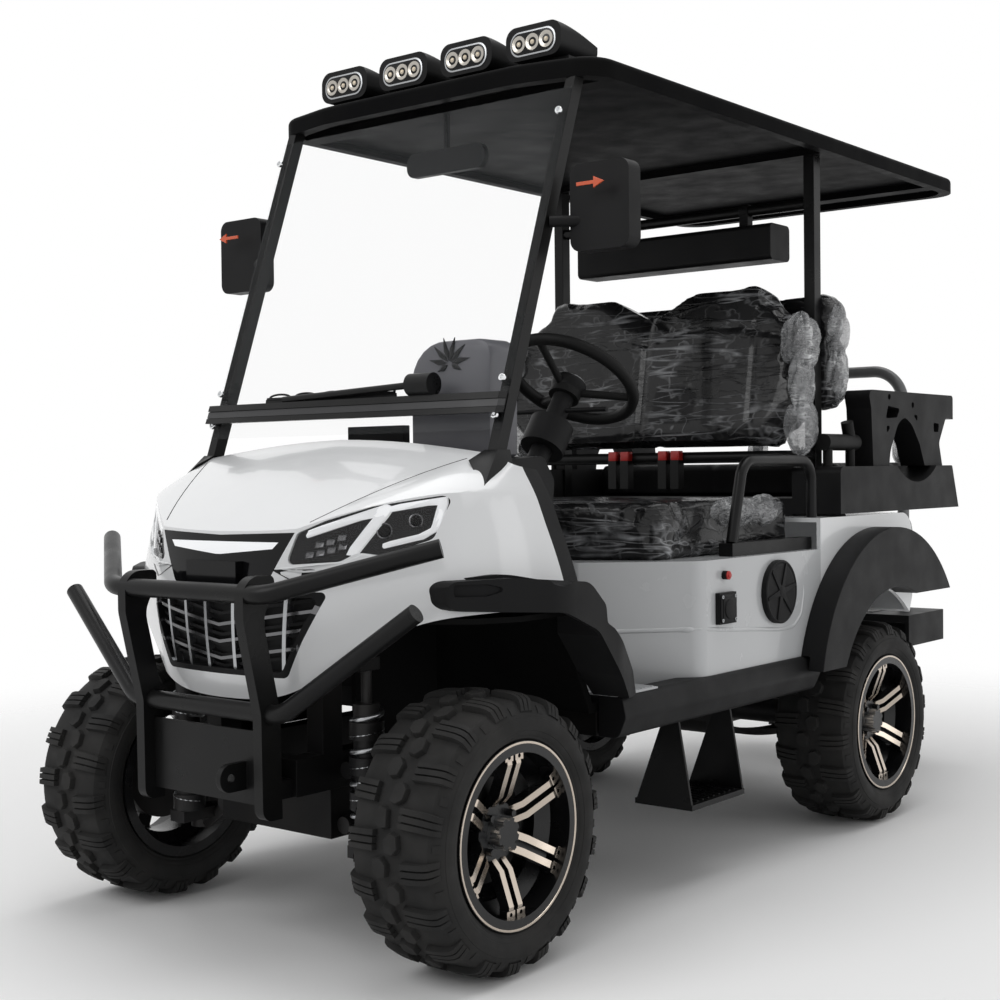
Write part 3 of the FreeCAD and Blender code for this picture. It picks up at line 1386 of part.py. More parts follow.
def seat_box():
    """The hollow box under the front seat, open at the top, with recesses for speakers and charge port."""
    low = d.rail_low + d.rail_height + d.cross_height + d.floor_thickness
    body = prism(plan, seat_box_form(0), low, d.box_top_z)
    hollow = prism(plan, seat_box_form(d.box_wall), low - d.overrun, d.box_top_z + d.overrun)
    rear_wall = cuboid(-d.box_half_width + d.box_wall, d.box_half_width - d.box_wall,
                       d.box_rear_y - d.box_wall, d.box_rear_y, low, d.box_top_z)
    i = d.cushion_pan_inset + d.ledge_width / 2
    w, c = d.cushion_half_width, d.cushion_corner
    y0, y1 = d.cushion_front_y, d.cushion_rear_y
    mouth = [(-w + 2 * c, y0 + i), (w - 2 * c, y0 + i), (w - i, y0 + c + i / 2), (w - i, y1 - i),
             (-w + i, y1 - i), (-w + i, y0 + c + i / 2)]
    ledge = prism(plan, seat_box_form(d.box_wall / 2), d.box_top_z - d.box_wall, d.box_top_z)
    ledge = ledge.cut(prism(plan, mouth, d.box_top_z - d.overrun, d.box_top_z + d.overrun))
    box = fused([body.cut(hollow), rear_wall, ledge] + lid_hinge_lugs(d.hinge_front_y, d.hinge_front_z,
                                                                      d.box_top_z))
    shape_node("seat_box", box)
    x0, x1 = d.box_half_width, d.box_half_width + d.speaker_depth
    disc = cylinder(d.speaker_radius, Vector(x0, d.speaker_y, d.speaker_z),
                    Vector(x1, d.speaker_y, d.speaker_z))
    half_l, half_h = d.port_length / 2, d.port_height / 2
    port = cuboid(x0, x0 + d.port_depth, d.port_y - half_l, d.port_y + half_l, d.port_z - half_h,
                  d.port_z + half_h)
    key = cylinder(d.key_radius, Vector(x0, d.port_y, d.port_z + d.key_rise),
                   Vector(x1, d.port_y, d.port_z + d.key_rise))
    return shape_node("side_fittings", *pair(disc), port, key)


def rear_body():
    """The hollow body behind the seat box, with wheel arches cut out of its flanks, and its tail lamps."""
    low = d.rail_low + d.rail_height + d.cross_height
    w = d.box_half_width
    y0, y1 = d.box_rear_y, d.rear_body_rear_y
    r = d.rear_body_round
    profile = [(y0, low), (y1 - r, low), (y1, d.rear_body_tail_low_z), (y1, d.rear_body_top_z, r),
               (y0, d.rear_body_top_z)]
    wall = d.box_wall
    inside = [(y0, low - d.overrun), (y1 - r - wall, low - d.overrun), (y1 - wall, d.rear_body_tail_low_z),
              (y1 - wall, d.rear_body_top_z - wall, r), (y0, d.rear_body_top_z - wall)]
    shell = prism(side, profile, -w, w).cut(prism(side, inside, -w + wall, w - wall))
    centre = Vector(0, d.wheelbase, d.tyre_radius + d.arch_rise)
    arches = [cylinder(d.arch_radius, centre + Vector(s * d.arch_inner_x, 0, 0),
                       centre + Vector(s * (w + d.overrun), 0, 0)) for s in (-1, 1)]
    shell = shell.cut(Part.makeCompound(arches))
    shape_node("rear_body", *shell.Solids)
    lamp = cuboid(d.tail_lamp_x, d.tail_lamp_x + d.tail_lamp_width, y1, y1 + d.tail_lamp_depth,
                  d.tail_lamp_z - d.tail_lamp_height / 2, d.tail_lamp_z + d.tail_lamp_height / 2)
    shape_node("tail_lamps", *pair(lamp))


def flare_plan(inset):
    """The plan of the left front flare: it leaves the fender at the front, bulges and falls back to the leg."""
    lead, front_x, outer_x = d.flare_front_y - inset, d.flare_front_x - inset, d.flare_outer_x - inset
    inner_x, rear_y = d.flare_inner_x - d.overrun, d.flare_rear_y + d.overrun
    return [(inner_x, -lead), (front_x, -lead, d.overrun), ((front_x + outer_x) / 2, 0, 3 * d.overrun),
            (outer_x, d.flare_notch_y, 6 * d.overrun), (outer_x, d.flare_leg_y, 5 * d.overrun),
            (d.flare_leg_x - inset, rear_y), (d.flare_leg_inner_x, rear_y), (d.flare_leg_inner_x,
                                                                             d.toe_top_y - d.overrun),
            (inner_x, d.flare_notch_y)]


LIP_SHARES = ((0, 0.79, 0.08), (0, 1, 0.08), (0.2, 1.02, 0.32), (0.56, 0.958, 0.24), (0.67, 0.77, 0.08),
              (0.68, 0.63, 0.04), (0.73, 0.58, 0.04), (0.955, 0.2, 0.08), (1, 0, 0), (0.89, 0, 0), (0.78,
                                                                                                    0.21, 0.16),
              (0.62, 0.58, 0.24), (0.4, 0.75, 0.32))
LIP_HOLLOW_SHARES = ((0.022, -0.1, 0), (0.022, 0.958, 0.08), (0.5, 0.915, 0.24), (0.64, 0.7, 0.08),
                     (0.64, -0.1, 0))
RIDGE_SHARES = ((0.05, 0.95, 0), (0.09, 1.02, 0.04), (0.2, 1.05, 0.5), (0.36, 0.985, 0.08), (0.38, 0.92, 0))
POCKET_SHARES = ((0.022, 0.89, 0.02), (0.022, 0.98, 0.02), (0.12, 0.98, 0.05), (0.19, 0.94, 0.02),
                 (0.12, 0.89, 0.05))


def front_flare(cowl):
    """The left front flare, with its ridge, its pocket, its notch and the leg down to the sill."""
    top, foot = d.flare_top_z, d.flare_leg_low_z
    y0, y1 = -d.flare_front_y, d.flare_rear_y
    inner_x, outer_x = d.flare_inner_x, d.flare_outer_x
    over, under = top + 2 * d.overrun, foot - 2 * d.overrun

    def seen(shares, inset):
        points = [(y0 + u * (y1 - y0), foot + v * (top - foot), r * (top - foot)) for u, v, r in shares]
        form = prism(side, points, inner_x - d.overrun, outer_x + d.overrun)
        return form.common(prism(plan, flare_plan(inset), under, over))

    hollow = seen(LIP_HOLLOW_SHARES, d.flare_wall)
    body = fused([seen(LIP_SHARES, 0).cut(hollow), seen(RIDGE_SHARES, d.flare_ridge_inset).cut(hollow)])
    centre_z = top - d.flare_notch_depth + d.flare_notch_radius
    notch = cylinder(d.flare_notch_radius, Vector(inner_x, d.flare_notch_y, centre_z),
                     Vector(outer_x, d.flare_notch_y, centre_z))
    pocket = seen(POCKET_SHARES, 0).cut(prism(plan, flare_plan(d.flare_pocket_depth), under, over))
    sill_top = d.rail_low + d.rail_height + d.sill_height
    end = Vector(d.guard_lower_end_x, -d.guard_lower_end_y, d.guard_lower_end_z)
    bend = Vector(d.guard_lower_half_width, -d.guard_lower_y, d.guard_lower_z)
    beyond = end + (end - bend).normalize() * d.guard_tube_gap
    tools = [notch, pocket, cowl, cylinder(d.guard_tube_radius + d.guard_tube_gap, bend, beyond),
             cuboid(inner_x, outer_x, d.sill_front_y, y1 + d.overrun, under, sill_top)]
    for tool in tools:
        body = body.cut(tool)
    return max(body.Solids, key=lambda solid: solid.Volume * solid.CenterOfMass.x)


def flares(cowl):
    """Front flares with their legs down to the sills, and rear flares round the arches."""
    sill_top = d.rail_low + d.rail_height + d.sill_height
    shape_node("front_flares", *pair(front_flare(cowl)))
    centre = Vector(0, d.wheelbase, d.tyre_radius + d.arch_rise)
    big = cylinder(d.rear_flare_outer_radius,
                   centre + Vector(d.box_half_width, 0, d.rear_flare_center_rise - d.arch_rise),
                   centre + Vector(d.rear_flare_outer_x, 0, d.rear_flare_center_rise - d.arch_rise))
    hole = cylinder(d.arch_radius, centre + Vector(d.arch_inner_x, 0, 0),
                    centre + Vector(d.rear_flare_outer_x + d.overrun, 0, 0))
    big = big.cut(hole)
    below = cuboid(d.arch_inner_x, d.rear_flare_outer_x + d.overrun, d.wheelbase - 2 * d.arch_radius,
                   d.wheelbase, -d.arch_radius, d.rear_flare_low_z)
    behind = cuboid(d.arch_inner_x, d.rear_flare_outer_x + d.overrun, d.wheelbase,
                    d.wheelbase + 2 * d.arch_radius, -d.arch_radius, d.rear_flare_tail_z)
    sill = cuboid(d.sill_outer_x - d.sill_width, d.sill_outer_x + d.seat_gap, d.sill_front_y,
                  d.sill_rear_y + d.seat_gap,
                  d.rail_low + d.rail_height, sill_top)
    big = big.cut(below).cut(behind).cut(sill)
    return shape_node("rear_flares", *[s for piece in pair(big) for s in piece.Solids])


def front_cushion():
    """The front seat's cushion on its pan: the lid that tips forward."""
    w = d.cushion_half_width
    c = d.cushion_corner
    y0, y1 = d.cushion_front_y, d.cushion_rear_y
    r = d.cushion_round
    points = [(-w + 2 * c, y0, r * 2), (w - 2 * c, y0, r * 2), (w, y0 + c, r * 2), (w, y1, r), (-w, y1, r),
              (-w, y0 + c, r * 2)]
    foot = d.box_top_z + d.seat_gap
    low = foot + d.cushion_pan_height
    high = foot + d.cushion_height
    pad = rounded(prism(plan, points, low, high), r * 0.8, lambda p: p.z > high - 1e-3)
    i = d.cushion_pan_inset
    pan = prism(plan, [(-w + 2 * c, y0 + i), (w - 2 * c, y0 + i), (w - i, y0 + c), (w - i, y1 - i),
                       (-w + i, y1 - i), (-w + i, y0 + c)],
                foot, low)
    leaf_low = foot + d.lid_hinge_gap
    barrels = lid_hinge_barrels(d.hinge_front_y, d.hinge_front_z, y0 + 2 * i, leaf_low,
                                leaf_low + d.lid_leaf_thickness)
    return shape_node("front_cushion", fused([pad, pan] + barrels))


def lean_back(shape, y, z):
    shape.rotate(Vector(0, y, z), Vector(1, 0, 0), -d.backrest_lean)
    return shape


def front_backrest():
    """The front backrest, with two head humps and a dip between them."""
    w, z0 = d.backrest_half_width, d.backrest_low_z
    z1 = z0 + d.backrest_height
    hump, dip, s = d.backrest_hump_width, d.backrest_dip, d.backrest_shoulder
    middle = w / 2
    r = d.backrest_round * 2
    right = [(0, z1 - dip, r), (middle - hump / 2, z1, r), (middle + hump / 2, z1, r), (w, z1 - s * 1.6, r),
             (w, z0 + s, r), (w - s, z0, r)]
    points = [(-p[0],) + p[1:] for p in reversed(right[1:])] + right
    y0 = d.backrest_low_y
    pad = prism(front, points, y0, y0 + d.backrest_thickness)
    return shape_node("front_backrest", lean_back(pad, y0, z0))


def seat_frame():
    """The tubes that carry the front backrest, with the belt buckles between backrest and cushion."""
    back_y = d.rear_post_y - d.rear_post_depth / 2
    r = d.seat_frame_tube
    lean = math.radians(d.backrest_lean)
    half = d.backrest_thickness / 2
    z = d.backrest_low_z - half * math.sin(lean) - (r + d.seat_gap) * math.cos(lean)
    y = d.backrest_low_y + half * math.cos(lean) - (r + d.seat_gap) * math.sin(lean)
    bar = tube([Vector(-d.rear_post_x, back_y, z), Vector(-d.rear_post_x, y, z),
                Vector(d.rear_post_x, y, z), Vector(d.rear_post_x, back_y, z)], r, r * 3)
    buckles = []
    for x in (-d.buckle_x, d.buckle_x):
        for shift in (-d.buckle_spread, d.buckle_spread):
            buckles.append(cuboid(x + shift - d.buckle_width / 2,
                                  x + shift + d.buckle_width / 2 - d.seat_gap * 4, y - r - d.buckle_depth, y - r / 2, z - d.buckle_height, z + r / 2))
    return shape_node("seat_frame", fused([bar] + buckles))


def hip_restraints():
    """A tube loop at each end of the front seat, standing on a moulded base."""
    x, low = d.hip_x, d.box_top_z + d.hip_base_height
    loop = tube([Vector(x, d.hip_front_y, low), Vector(x, d.hip_front_y + d.hip_bend, d.hip_top_z),
                 Vector(x, d.hip_rear_y, d.hip_top_z), Vector(x, d.hip_rear_y,
                                                              low)], d.hip_radius, d.hip_bend)
    base = cuboid(x - d.hip_base_width / 2, x + d.hip_base_width / 2, d.hip_front_y - d.hip_radius * 2,
                  d.hip_rear_y + d.hip_radius * 2, d.box_top_z, low)
    body = fused([loop, base])
    body = body.cut(cuboid(x - d.hip_base_width, x + d.hip_base_width, d.box_rear_y,
                           d.hip_rear_y + d.overrun * 4, d.box_top_z - d.overrun, d.rear_body_top_z))
    return shape_node("hip_restraints", *[s for piece in pair(body) for s in piece.Solids])


def rear_seat_kit():
    """The rear seat's base: side boxes with their shallow notches, the tray between them and the struts below."""
    low, tray, top = d.base_low_z, d.base_low_z + d.base_tray_height, d.base_top_z
    y0, y1 = d.base_front_y, d.base_rear_y
    box = prism(side, [(y0, low), (y1 + d.overrun, low), (y1 - d.base_tail_lean + d.overrun, top,
                                                          d.overrun / 2),
                       (y0, top, d.overrun)], d.base_inner_x, d.base_outer_x)
    box = box.cut(base_notch())
    tray_part = cuboid(-d.base_inner_x, d.base_inner_x, y0, y1, low, tray)
    half = d.strut_size / 2
    struts = [cuboid(x - half, x + half, d.strut_y - half, d.strut_y + half, d.rail_low + d.rail_height, low)
              for x in (-d.rail_spacing, d.rail_spacing)]
    half_w, half_d = d.rear_post_width / 2, d.rear_post_depth / 2
    posts = [cuboid(x - half_w, x + half_w, d.rear_post_y - half_d, d.rear_post_y + half_d, low,
                    top + d.overrun)
             for x in (-d.rear_post_x, d.rear_post_x)]
    feet = cuboid(-d.base_inner_x, d.base_inner_x, y0, d.rear_body_rear_y - d.rear_body_round * 2,
                  d.rear_body_top_z, low)
    lugs = lid_hinge_lugs(d.hinge_rear_y, d.hinge_rear_z, tray)
    base = fused([tray_part, box, mirrored(box), feet] + struts + lugs).cut(Part.makeCompound(posts))
    return shape_node("rear_seat_base", base)


def base_notch():
    """The shallow round notch in the top of the left side box."""
    z = d.base_top_z - d.notch_depth + d.notch_radius
    return cylinder(d.notch_radius, Vector(d.base_inner_x, d.notch_y, z),
                    Vector(d.base_outer_x, d.notch_y, z))


def rear_seat_pads():
    """The rear backrest on the roof posts, and the cushion that folds up on its hinges."""
    tray = d.base_low_z + d.base_tray_height
    r = d.rear_back_round
    back_y = d.rear_post_y + d.rear_post_depth / 2 + d.seat_gap
    w, z0, z1 = d.rear_back_half_width, d.rear_back_low_z, d.rear_back_low_z + d.rear_back_height
    outline_points = [(-w, z0, 2 * r), (w, z0, 2 * r), (w, z1, 2 * r), (-w, z1, 2 * r)]
    shape_node("rear_backrest", prism(front, outline_points, back_y, back_y + d.rear_back_thickness))
    w, y0, y1 = d.rear_cushion_half_width, d.rear_cushion_front_y, d.rear_cushion_rear_y
    low, high = tray + d.seat_gap, tray + d.seat_gap + d.rear_cushion_height
    cushion = prism(plan, [(-w, y0, r), (w, y0, r), (w, y1, r), (-w, y1, r)], low, high)
    cushion = rounded(cushion, r * 0.8, lambda p: p.z > high - 1e-3)
    leaf_low = low + d.lid_hinge_gap
    barrels = lid_hinge_barrels(d.hinge_rear_y, d.hinge_rear_z, y1 - r, leaf_low,
                                leaf_low + d.lid_leaf_thickness)
    return shape_node("rear_cushion", fused([cushion] + barrels))


ARMREST_SHARES = ((0.05, 0, 0), (0.03, 0.76, 0.02), (0, 1, 0.04), (1, 1, 0.02), (1, 0.66, 0),
                  (0.91, 0.68, 0.03),
                  (0.82, 0.32, 0.04), (0.86, 0, 0))
ARCH_SHARES = ((0.22, -0.1, 0), (0.24, 0.2, 0.12), (0.33, 0.58, 0.12), (0.41, 0.66, 0.07), (0.49, 0.56, 0.12),
               (0.58, 0.3, 0.12), (0.66, -0.1, 0))
WINDOW_SHARES = (((0.215, 0.8, 0.01), (0.35, 0.77, 0.01), (0.315, 0.65, 0.01), (0.19, 0.63, 0.01)),
                 ((0.2, 0.54, 0.01), (0.245, 0.53, 0.01), (0.2, 0.42, 0.01)),
                 ((0.5, 0.71, 0.01), (0.555, 0.69, 0.01), (0.555, 0.6, 0.01)),
                 ((0.75, 0.6, 0.01), (0.82, 0.59, 0.01), (0.81, 0.47, 0.01), (0.757, 0.47, 0.01)))
HOLE_SHARES = ((0.23, 0.92), (0.5, 0.83))


def armrests():
    """The rear armrests: a pad on a lattice with an oval arch, small windows and two holes."""
    y0, run = d.armrest_front_y, d.armrest_rear_y - d.armrest_front_y
    z0, rise = d.base_top_z, d.armrest_top_z - d.base_top_z

    def cut_of(shares):
        return prism(side, [(y0 + u * run, z0 + v * rise, r * run) for u, v, r in shares],
                     d.armrest_inner_x, d.armrest_outer_x)

    arm = cut_of(ARMREST_SHARES).cut(Part.makeCompound([cut_of(shares) for shares in (ARCH_SHARES,) + WINDOW_SHARES]))
    for u, v in HOLE_SHARES:
        at = Vector(d.armrest_inner_x, y0 + u * run, z0 + v * rise)
        arm = arm.cut(cylinder(d.armrest_hole_radius, at, at + Vector(d.armrest_outer_x - d.armrest_inner_x,
                                                                      0, 0)))
    return shape_node("rear_armrests", *pair(arm))


def handrails():
    """The padded rails beside the rear seat, on two posts each, with a knob."""
    top, z, r = d.base_top_z, d.handrail_z, d.handrail_post_radius
    x, y0, y1 = d.handrail_x, d.handrail_front_y, d.handrail_rear_y
    parts = [cylinder(d.handrail_radius, Vector(x, y0, z), Vector(x, y1, z))]
    parts += [cylinder(r, Vector(x, y, top), Vector(x, y, z)) for y in (y0 + 2 * r, y1 - 2 * r)]
    foot = Vector(x, y1 - 2 * r, z)
    knob = Vector(0, -d.handrail_knob_length / 3, d.handrail_knob_length)
    parts.append(cylinder(d.handrail_knob_radius, foot, foot + knob))
    return shape_node("rear_handrails", *pair(fused(parts)))


def rear_step():
    """The rear footrest, a skirted plate on the rail ends, and the hoop to hold on to."""
    rear = d.wheelbase + d.tail_reach
    y0, y1 = rear - d.footrest_length, rear
    w, top = d.footrest_half_width, d.footrest_top_z
    low = d.rail_low + d.rail_height
    plate = cuboid(-w, w, y0, y1, low, top)
    hollow = cuboid(-w + d.footrest_wall, w - d.footrest_wall, y0 - d.overrun, y1 - d.footrest_wall,
                    low - d.overrun, top - d.footrest_thickness)
    rests = [cuboid(x - d.rail_width / 2, x + d.rail_width / 2, y0, y1 - d.rail_end_gap, low,
                    top) for x in (-d.rail_spacing, d.rail_spacing)]
    tread_w = d.grab_half_width - d.footrest_tread_margin
    tread = cuboid(-tread_w, tread_w, y0 + d.footrest_tread_margin, y1 - d.footrest_tread_margin, top,
                   top + d.footrest_tread_height)
    shape_node("footrest", fused([plate.cut(hollow), tread] + rests))
    y = y1 - d.grab_inset
    g = d.grab_half_width
    hoop = tube([Vector(g, y, top), Vector(g, y, d.grab_top_z - d.grab_radius),
                 Vector(-g, y, d.grab_top_z - d.grab_radius), Vector(-g, y, top)], d.grab_radius, d.grab_bend)
    return shape_node("grab_bar", hoop)


def brush_guard():
    """The guard's two bent tubes and the flat hoops that carry them, with the plate and tow eye between."""
    r = d.guard_tube_radius
    y = -d.nose_reach + r
    upper = tube([Vector(d.guard_upper_end_x, -d.guard_upper_end_y, d.guard_upper_end_z),
                  Vector(d.guard_upper_half_width, y, d.guard_upper_z),
                  Vector(-d.guard_upper_half_width, y, d.guard_upper_z), Vector(-d.guard_upper_end_x,
                                                                                -d.guard_upper_end_y, d.guard_upper_end_z)], r, d.guard_bend)
    lower_y = -d.guard_lower_y
    lower = tube([Vector(d.guard_lower_end_x, -d.guard_lower_end_y, d.guard_lower_end_z),
                  Vector(d.guard_lower_half_width, lower_y, d.guard_lower_z),
                  Vector(-d.guard_lower_half_width, lower_y, d.guard_lower_z), Vector(-d.guard_lower_end_x,
                                                                                      -d.guard_lower_end_y, d.guard_lower_end_z)], r, d.guard_bend)
    w = d.hoop_width
    outer_y = -d.nose_reach
    hoop = prism(side, [(outer_y, d.hoop_top_z, w), (outer_y + w * 1.6, d.hoop_top_z, w / 3),
                        (outer_y + w * 1.6, d.hoop_top_z - w / 2), (outer_y + w, d.guard_upper_z - w,
                                                                    w), (-d.guard_lower_y + w / 2,
                                                                         d.guard_lower_z, w), (-d.hoop_low_y + w / 2, d.hoop_low_z),
                        (-d.hoop_low_y - w / 2, d.hoop_low_z, w / 2), (-d.guard_lower_y - w / 2,
                                                                       d.guard_lower_z, w), (outer_y,
                                                                                             d.guard_upper_z - w, w)],
                 d.hoop_inner_x, d.hoop_inner_x + d.hoop_thickness)
    shape_node("brush_guard", fused([upper, lower, hoop, mirrored(hoop)]))
    wall = d.plate_wall
    x = d.hoop_inner_x
    top, low = d.plate_top_z - d.overrun, d.plate_low_z
    front_y = -d.hoop_low_y
    plate = cuboid(-x, x, front_y, front_y + wall, low, top)
    bar = cuboid(-x, x, front_y + wall, -d.rail_front, d.rail_low, d.rail_low + d.rail_height / 2)
    eye_low = d.tow_eye_z - d.tow_plate_height / 2
    half = d.tow_plate_height / 2
    nose_y = -d.tow_eye_y - half
    eye = prism(side, [(nose_y, eye_low, half), (front_y, eye_low), (front_y, eye_low + d.tow_plate_height),
                       (nose_y, eye_low + d.tow_plate_height, half)],
                d.tow_eye_x - d.tow_plate_thickness / 2, d.tow_eye_x + d.tow_plate_thickness / 2)
    reach = Vector(d.tow_plate_thickness, 0, 0)
    centre = Vector(d.tow_eye_x, -d.tow_eye_y, d.tow_eye_z)
    hole = cylinder(d.tow_eye_radius, centre - reach, centre + reach)
    return shape_node("guard_plate", fused([plate, bar, eye]).cut(hole))


def side_steps():
    """A tread plate each side, hung on two brackets from the cross members."""
    y0, y1 = d.step_front_y, d.step_front_y + d.step_length
    wall = d.step_bracket_wall
    top = d.rail_low + d.rail_height
    plate = cuboid(d.step_inner_x, d.step_outer_x, y0, y1, d.step_z, d.step_z + d.step_thickness)
    brackets = []
    for y in (y0, y1 - wall):
        points = [(d.step_inner_x, d.step_z), (d.step_outer_x, d.step_z), (d.cross_half_length, top),
                  (d.cross_half_length - d.step_bracket_width, top)]
        brackets.append(prism(front, points, y, y + wall))
    return shape_node("side_steps", *pair(fused([plate] + brackets)))


def arch_liners(cowl):
    """The inner wings over the front wheels, kept within the cowl."""
    x = d.rail_spacing + d.rail_width / 2
    wall = d.flare_wall
    z1 = d.cowl_low_z - wall
    w = d.cowl_half_width
    points = [(x, d.rail_low + d.rail_height), (x + wall, d.rail_low + d.rail_height), (x + wall, z1 - wall),
              (w - wall, z1 - wall), (w - wall, z1), (x, z1)]
    body = prism(front, points, -d.nose_rear_y, d.toe_top_y)
    within = [(x - wall, -d.nose_rear_y), (w * 0.58, -d.nose_rear_y), (w * 0.9, -d.nose_rear_y * 0.1),
              (w * 0.97, d.nose_rear_y * 0.5), (w * 0.97, d.toe_top_y), (x - wall, d.toe_top_y)]
    tower = cuboid(0, w, -d.shock_lead - d.tower_width, -d.shock_lead + d.tower_width, 0,
                   d.rail_low + d.rail_height + d.tower_height + wall)
    body = body.common(prism(plan, within, 0, d.hood_back_z)).cut(tower).cut(cowl)
    return shape_node("arch_liners", *[s for piece in pair(body) for s in piece.Solids])


def hub_back():
    """How far outboard of the tyre's middle the back of the rim's hub lies."""
    return d.rim_width / 2 - d.spoke_face_depth - d.dish_depth - d.spoke_thickness


def knuckle(sign):
    """One front knuckle: kingpin barrel, spindle, brake drum and steering arm, at its own side."""
    x = d.kingpin_x
    barrel = cylinder(d.kingpin_radius, Vector(x, 0, d.kingpin_low),
                      Vector(x, 0, d.kingpin_low + d.kingpin_height))
    drum_x0 = d.track_front / 2 + hub_back() - d.seat_gap - d.drum_width
    spindle = cylinder(d.spindle_radius, Vector(x, 0, d.tyre_radius), Vector(drum_x0, 0, d.tyre_radius))
    drum = cylinder(d.drum_radius, Vector(drum_x0, 0, d.tyre_radius),
                    Vector(drum_x0 + d.drum_width, 0, d.tyre_radius))
    half = d.arm_width / 2
    arm = prism(plan, [(x + half, 0), (x - half, 0), (x - d.arm_inset - half, d.arm_reach),
                       (x - d.arm_inset, d.arm_reach + half, half), (x - d.arm_inset + half, d.arm_reach)],
                d.arm_low, d.arm_low + d.arm_thickness)
    body = fused([barrel, spindle, drum, arm])
    return body if sign > 0 else mirrored(body)


def knuckles():
    shape_node("knuckle_left", knuckle(1))
    shape_node("knuckle_right", knuckle(-1))
    x = d.kingpin_x - d.arm_inset
    top = d.arm_low - d.tie_rod_gap
    z = top - d.tie_rod_eye_height / 2
    y = d.arm_reach
    parts = [cylinder(d.tie_rod_radius, Vector(-x, y, z), Vector(x, y, z))]
    for eye_x in (-x, x):
        parts.append(cylinder(d.tie_rod_eye_radius, Vector(eye_x, y, top - d.tie_rod_eye_height),
                              Vector(eye_x, y, top)))
    return shape_node("tie_rod", fused(parts))


def column_place(along):
    """A point on the steering column's axis, counted up from the steering wheel's hub."""
    tilt = math.radians(d.column_tilt)
    return Vector(d.wheel_hub_x, d.wheel_hub_y + along * math.sin(tilt),
                  d.wheel_hub_z + along * math.cos(tilt))


def steering(floor):
    """The column with its instrument pod and stalks, and the steering wheel that turns on it."""
    base = -d.wheel_hub_height - d.seat_gap
    column = cylinder(d.column_radius, column_place(base - d.column_length), column_place(base))
    pod = cylinder(d.pod_radius, column_place(base - d.pod_drop - d.pod_height),
                   column_place(base - d.pod_drop))
    mid = column_place(base - d.pod_drop / 2)
    reach = Vector(d.stalk_length, 0, 0)
    stalk = cylinder(d.stalk_radius, mid - reach, mid + reach)
    shape_node("steering_column", largest(fused([column, pod, stalk]).cut(floor)))
    hub = cylinder(d.wheel_hub_radius, column_place(-d.wheel_hub_height), column_place(0))
    axis = (column_place(d.wheel_hub_height) - column_place(0)).normalize()
    across = Vector(1, 0, 0)
    rim_centre = column_place(d.wheel_dish)
    section = []
    for i in range(8):
        turn = math.pi * (i + 0.5) / 4
        out = d.wheel_rim_radius + d.wheel_grip_radius * math.cos(turn)
        section.append(rim_centre + across * out + axis * d.wheel_grip_radius * math.sin(turn))
    ring = Part.Face(Part.makePolygon(section + section[:1])).revolve(rim_centre, axis, 360)
    parts = [hub, ring]
    uphill = axis.cross(across)
    for angle in (-90, 30, 150):
        direction = across * math.cos(math.radians(angle)) + uphill * math.sin(math.radians(angle))
        parts.append(cylinder(d.wheel_spoke_thickness, column_place(-d.wheel_hub_height / 2),
                              rim_centre + direction * d.wheel_rim_radius))
    return shape_node("steering_wheel", fused(parts))


def spin(x, radius, angle):
    """A point at the given radius and angle about the X axis, counted from straight below."""
    return Vector(x, radius * math.sin(angle), -radius * math.cos(angle))


def tyre_form():
    """A tyre about the X axis out of flat faces: two rows of shoulder lugs that wrap over the edge, with a middle
    row set half a pitch on. Each pitch is one lug and one groove, and a radius is to the middle of a flat."""
    count = int(d.lug_pitches) * 2
    turn = 2 * math.pi / count
    grow = 1 / math.cos(turn / 2)
    half_bead = d.rim_width / 2 - d.rim_lip_thickness - d.bead_gap
    mid, row, edge = d.middle_row_width / 2, d.middle_row_width / 2 + d.tread_row_gap, d.tread_width / 2
    crown, edge_top = d.tyre_radius * grow, d.tread_edge_radius * grow
    ground, edge_ground = crown - d.tread_depth, edge_top - d.tread_depth
    outer, outer_radius = d.shoulder_width / 2, d.shoulder_radius * grow
    bore = (d.bead_seat_radius + d.bead_gap) * grow
    rows = [(outer, outer_radius), (d.tyre_width / 2, d.sidewall_bulge_radius * grow),
            (half_bead, d.bead_top_radius),
            (half_bead, bore)]
    faces = []

    def add(*points):
        faces.append(Part.Face(Part.makePolygon(list(points) + [points[0]])))

    def strip(x0, r0, x1, r1, i):
        a, b = (i - 0.5) * turn, (i + 0.5) * turn
        add(spin(x0, r0, a), spin(x0, r0, b), spin(x1, r1, b), spin(x1, r1, a))

    for i in range(count):
        middle_up = i % 2 == 0
        a, b = (i - 0.5) * turn, (i + 0.5) * turn
        strip(-mid, crown if middle_up else ground, mid, crown if middle_up else ground, i)
        add(spin(-mid, ground, a), spin(-mid, crown, a), spin(mid, crown, a), spin(mid, ground, a))
        for sign in (-1, 1):
            if middle_up:
                add(spin(sign * mid, ground, a), spin(sign * mid, crown, a), spin(sign * mid, crown, b),
                    spin(sign * mid, ground, b))
                strip(sign * row, ground, sign * edge, edge_ground, i)
                strip(sign * edge, edge_ground, sign * outer, outer_radius, i)
            else:
                add(spin(sign * row, ground, a), spin(sign * row, crown, a), spin(sign * row, crown, b),
                    spin(sign * row, ground, b))
                strip(sign * row, crown, sign * edge, edge_top, i)
                strip(sign * edge, edge_top, sign * outer, outer_radius, i)
            strip(sign * mid, ground, sign * row, ground, i)
            add(spin(sign * row, ground, a), spin(sign * row, crown, a), spin(sign * edge, edge_top, a),
                spin(sign * outer, outer_radius, a), spin(sign * edge, edge_ground, a))
            for (x0, r0), (x1, r1) in zip(rows, rows[1:]):
                strip(sign * x0, r0, sign * x1, r1, i)
        strip(-half_bead, bore, half_bead, bore, i)
    shell = Part.makeShell(faces)
    shell.sewShape()
    solid = Part.makeSolid(shell)
    return solid if solid.Volume > 0 else solid.reversed()


